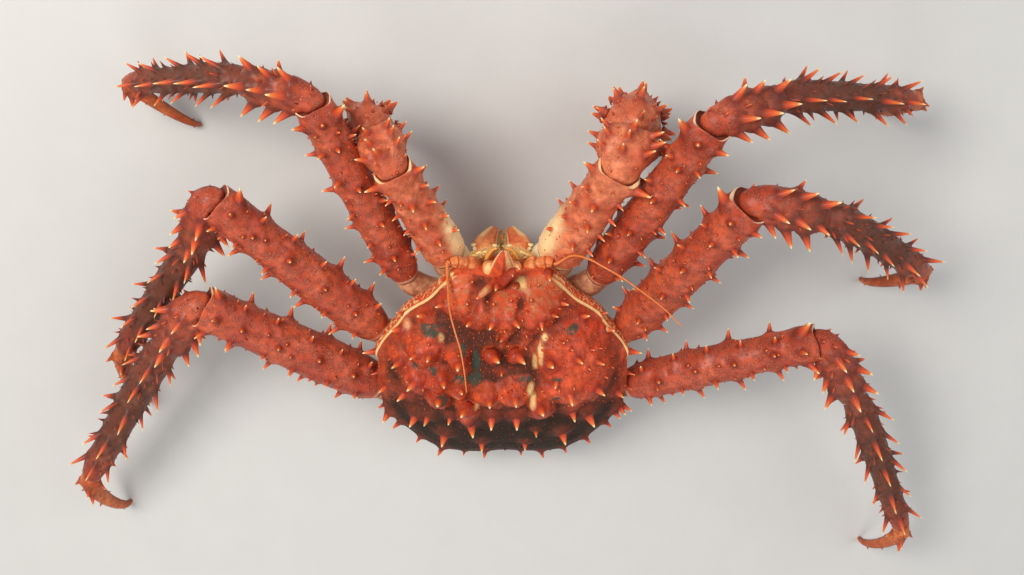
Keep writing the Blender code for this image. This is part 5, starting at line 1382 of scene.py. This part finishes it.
def makeMaxilliped(key, side):
    # Two plates folded at a knee, the upper one broad and flat, tapering down beside the gape. Pale outside,
    # orange along the gape, with knobs on the knee and a feathery whip above it.
    def palpShape(t, turn):  # a ridge along the edge at the gape
        return 1 + 0.16 * bell(around(turn) * side, 0.55, 0.30) + 0 * t

    limb, span = headSpan(head["maxilliped"], side)
    rings, t, turn = tube(span, 70, 56, jointed((0.55, 0.96), 0.10, 0.02, 0.12))
    groove = bell(t, 0.55, 0.015)[:, None]
    pale = bell(around(turn) * side, 0.0, 0.8) * ease(t, 0.4, 0.8)[:, None] * 0.4
    skin = Skin().add(grained(rings, 0.2, 2.5), pale=pale * (1 - groove), groove=groove * 0.8)
    places, turns, sizes = (0.95, 0.97, 0.88), np.array([-1.3, 0.95, -1.0]), np.array([2.2, 2.0, 1.8])
    knobs = standing(span, np.array(places), side * turns, sizes * mm, 0.6, np.zeros(3))
    skin.add(spineRings(knobs, granule), tip=0.95, pale=1.0)
    name = f"maxilliped_{key}"
    skin.make(name + "_plate", finishes["mouth"], "mouthparts", (name,))
    spec = head["palp"]
    stop, arrive = bodyPlace(spec["end"], side), unit(bodyTurn(spec["land"], side))
    span = limb.sweep(stop, arrive, spec["run"], spec["girth"], spec["leave"], spec["press"])
    rings, t, turn = tube(span, 80, 72, palpShape)
    turn = around(turn) * side
    outer = bell(turn, -0.75, 0.55) * (0.5 + 0.5 * ease(t, 0.1, 0.5)[:, None])
    pale = np.clip(outer * 0.8 + bell(turn, 1.05, 0.22) * 0.7, 0, 1)
    line = bell(turn, 0.60, 0.14) * ease(t, 0.05, 0.2)[:, None]
    palpName = f"maxilliped_palp_{key}"
    palp = Skin().add(grained(rings, 0.2, 2.5), pale=pale, near=line)
    palp.make(palpName + "_plate", finishes["mouth"], "mouthparts", (palpName,))
    dice = np.random.default_rng(60 + side)
    hairs = Skin().add(fringe(span, palpFringe, side, dice))
    hairs.make(palpName + "_bristles", finishes["bristle"], "mouthparts", (palpName,))
    _, span = headSpan(head["exopod"], side)
    rings, t, turn = tube(span, 60, 20)
    whip = Skin().add(rings).add(fringe(span, whipFringe, 1, dice))
    whip.make(name + "_exopod", finishes["frill"], "mouthparts", (name,))


def makeHead():  # the rostrum, the mouth between the mouth legs, and the paired pieces
    makeRostrum()
    _, span = headSpan(head["mouth"])
    rings, t, turn = tube(span, 40, 40, jointed((0.6,), 0.12, 0.05))
    # dark olive all over: a stain, with painted shade as it lies deep between the mouth legs
    skin = Skin().add(grained(rings, 0.3, 2.0), dusk=0.55, stain=0.5)
    skin.make("mouth_frame", finishes["mouth"], "mouthparts", ("mouth",))
    for key, side in sides.items():
        makeEye(key, side)
        makeAntenna(key, side)
        makeMaxilliped(key, side)


makeHead()
print("head made")


# Underside

# Thorax and flap: (share of the shell's radius or of the flap's size, height), from the lower face up.
# The hinge is the flap's first plate, behind.
under = {
    "thorax": ((0.40, -36), (0.52, -33), (0.62, -27), (0.66, -20.3)),
    "flap": {"run": ((0.72, -46), (0.93, -43.5), (1.0, -40), (0.94, -36.4)), "middle": -18, "halfLength": 34,
             "halfWidth": 32, "narrowing": 0.22, "plate": 9.5},
    "hinge": {"root": (0, -60, -15), "end": (0, -50, -40), "leave": (0, -0.85, -0.5),
              "land": (0, 0.75, -0.65), "girth": 8.5, "press": 0.40,
              "run": ((0, 1.0), (0.25, 1.05), (0.5, 1.05), (0.75, 1.0), (1, 0.9))},
    "hingeSpines": ((0, 0.3, 0.8, 2, 5, 10), (55, 0.3, 0.8, 2, 5, 10), (-55, 0.3, 0.8, 2, 5, 10)),
}


def makeThorax():
    # Rings that grow over the lower face and then up its side, with a groove between each pair of legs.
    bearing = np.arange(240) / 240 * 360 - 180
    turn, radius = np.radians(bearing), marginRadius(bearing)
    (low, bottom), *_ = under["thorax"]
    level = np.linspace(0, 3, 40)[1:]
    shares, rises = np.array(under["thorax"], float).T
    places = np.concatenate([np.linspace(0.05, 1, 14) * low, np.interp(level, range(4), shares)])
    heights = np.concatenate([np.full(14, float(bottom)), np.interp(level, range(4), rises)])
    reach = places[:, None] * radius
    local = np.stack([reach * np.sin(turn), reach * np.cos(turn), heights[:, None] + 0 * turn], -1)
    local = np.concatenate([local, local[-1:] * (0.5, 0.5, 1), local[-1:] * (0.05, 0.05, 1)])
    ribs = bell(np.abs(np.sin(turn * 4.5)), 0, 0.25) * ease(np.hypot(local[..., 0], local[..., 1]), 20, 32)
    rings = bodyPlace(local)
    rings = rings - ringNormals(rings) * (ribs * 0.8 * mm)[..., None]
    skin = Skin().add(rings, groove=ribs * 0.8)
    skin.make("thorax_plates", finishes["underside"], "pale_underside", ("thorax",))


def makeFlap():
    # A flat oval, narrower in front, with grooves between its plates. Then its spiny first plate as one span.
    spec = under["flap"]
    shares, rises = ([(k, row[i]) for k, row in enumerate(spec["run"])] for i in (0, 1))
    level = np.linspace(0, 3, 24)[1:]
    (low, bottom), (_, top) = spec["run"][0], spec["run"][-1]
    share = np.concatenate([np.linspace(0.04, low, 16), curved(shares, level), [0.5, 0.05]])
    height = np.concatenate([np.full(16, float(bottom)), curved(rises, level), [top, top]])
    turn = np.linspace(0, 2 * np.pi, 140, endpoint=False)
    f = spec["middle"] + share[:, None] * spec["halfLength"] * np.cos(turn)
    x = share[:, None] * spec["halfWidth"] * np.sin(turn) * (1 - spec["narrowing"] * np.cos(turn))
    local = np.stack([x, f, height[:, None] + 0 * x], -1)
    rings = bodyPlace(local)
    plates = bell(np.abs(((f + 60) / spec["plate"]) % 1 - 0.5), 0.5, 0.10) * (np.abs(x) < 40)
    rings = rings + ringNormals(rings) * ((rough(local, 3.0, 8) * 0.35 - plates * 0.7) * mm)[..., None]
    flap = Skin().add(rings, groove=plates * 0.7)
    flap.make("abdomen_plates", finishes["underside"], "pale_underside", ("abdomen_flap",))
    spec, upper = under["hinge"], unit(bodyTurn((0, -0.5, 0.85)))
    limb = Limb(bodyPlace(spec["root"]), bodyTurn(spec["leave"]), upper)
    stop, arrive = bodyPlace(spec["end"]), unit(bodyTurn(spec["land"]))
    span = limb.sweep(stop, arrive, spec["run"], spec["girth"], press=spec["press"])
    rings, t, turn = tube(span, 50, 100)
    spines = rowSpines(span, under["hingeSpines"], random.Random(7), 0.28)
    swell, near = mounds(rings, spines)
    rings = rings + ringNormals(rings) * (rough(rings / mm, 3.0, 8) * 0.4 * mm + swell)[..., None]
    skin = Skin().add(rings, near=near)
    skin.add(spineRings(spines, fineSpine), **spineMasks(spines, fineSpine))
    skin.make("abdomen_base_plate", finishes["underside"], "pale_underside", ("abdomen_base",))


makeThorax()
makeFlap()
print("underside made")


# Floor, light and camera

studio = {
    "camera": (-9.47, -232.75, 689.55), "drop": 72, "lens": 42.19,  # place in mm, degrees below level, mm
    "floor": (0.62, 0.61, 0.59), "reach": 3.0, "sky": (0.95, 0.97, 1.0, 1), "world": 0.34,
    # Lights: place in metres, size in metres, watts, colour.
    "lights": (
        ((0.62, -0.55, 1.10), 0.6, 15.0, (1.0, 0.96, 0.90)),
        ((-0.95, -0.25, 0.9), 0.9, 5.0, (0.92, 0.96, 1.0)),
        ((0.2, 0.9, 0.8), 0.8, 4.0, (1.0, 0.97, 0.93)),
    ),
}


def makeStudio():  # a pale floor, three soft lights, an even sky, and the camera of the photo
    scene = bpy.context.scene
    mesh = bpy.data.meshes.new("floor")
    far = studio["reach"]
    mesh.from_pydata([(-far, -far, 0), (far, -far, 0), (far, far, 0), (-far, far, 0)], [], [(0, 1, 2, 3)])
    floor = bpy.data.objects.new("floor", mesh)
    scene.collection.objects.link(floor)
    material, wire, shader = newMaterial("paleFloor")
    place = wire.node("ShaderNodeTexCoord", output=3)
    grain = wire.noise(place, 40.0)
    colour = grain.blend(tuple(0.94 * c for c in studio["floor"]), studio["floor"])
    wireUp(wire, shader, Base_Color=colour, Roughness=0.6 + 0.1 * grain)
    mesh.materials.append(material)
    for place, size, power, colour in studio["lights"]:
        light = bpy.data.lights.new("softbox", "AREA")
        light.size, light.energy, light.color = size, power, colour
        lamp = bpy.data.objects.new("softbox", light)
        place = np.array(place)
        away = unit(place)
        across = unit(np.cross((0, 0, 1), away))
        turn = np.column_stack([across, np.cross(away, across), away])
        lamp.matrix_world = Matrix([[*turn[k], place[k]] for k in range(3)] + [[0, 0, 0, 1]])
        scene.collection.objects.link(lamp)
    world = bpy.data.worlds.new("softSky")
    world.use_nodes = True
    sky = world.node_tree.nodes["Background"].inputs
    sky["Color"].default_value, sky["Strength"].default_value = studio["sky"], studio["world"]
    scene.world = world
    lens = bpy.data.cameras.new("camera")
    lens.lens, lens.sensor_width = studio["lens"], 36
    camera = bpy.data.objects.new("camera", lens)
    s, c = math.sin(math.radians(90 - studio["drop"])), math.cos(math.radians(90 - studio["drop"]))
    x, y, z = np.array(studio["camera"]) * mm
    camera.matrix_world = Matrix(((-1, 0, 0, x), (0, -c, -s, y), (0, -s, c, z), (0, 0, 0, 1)))
    scene.collection.objects.link(camera)
    scene.camera = camera
    scene.view_settings.view_transform = "Standard"


makeStudio()
print("scene made")
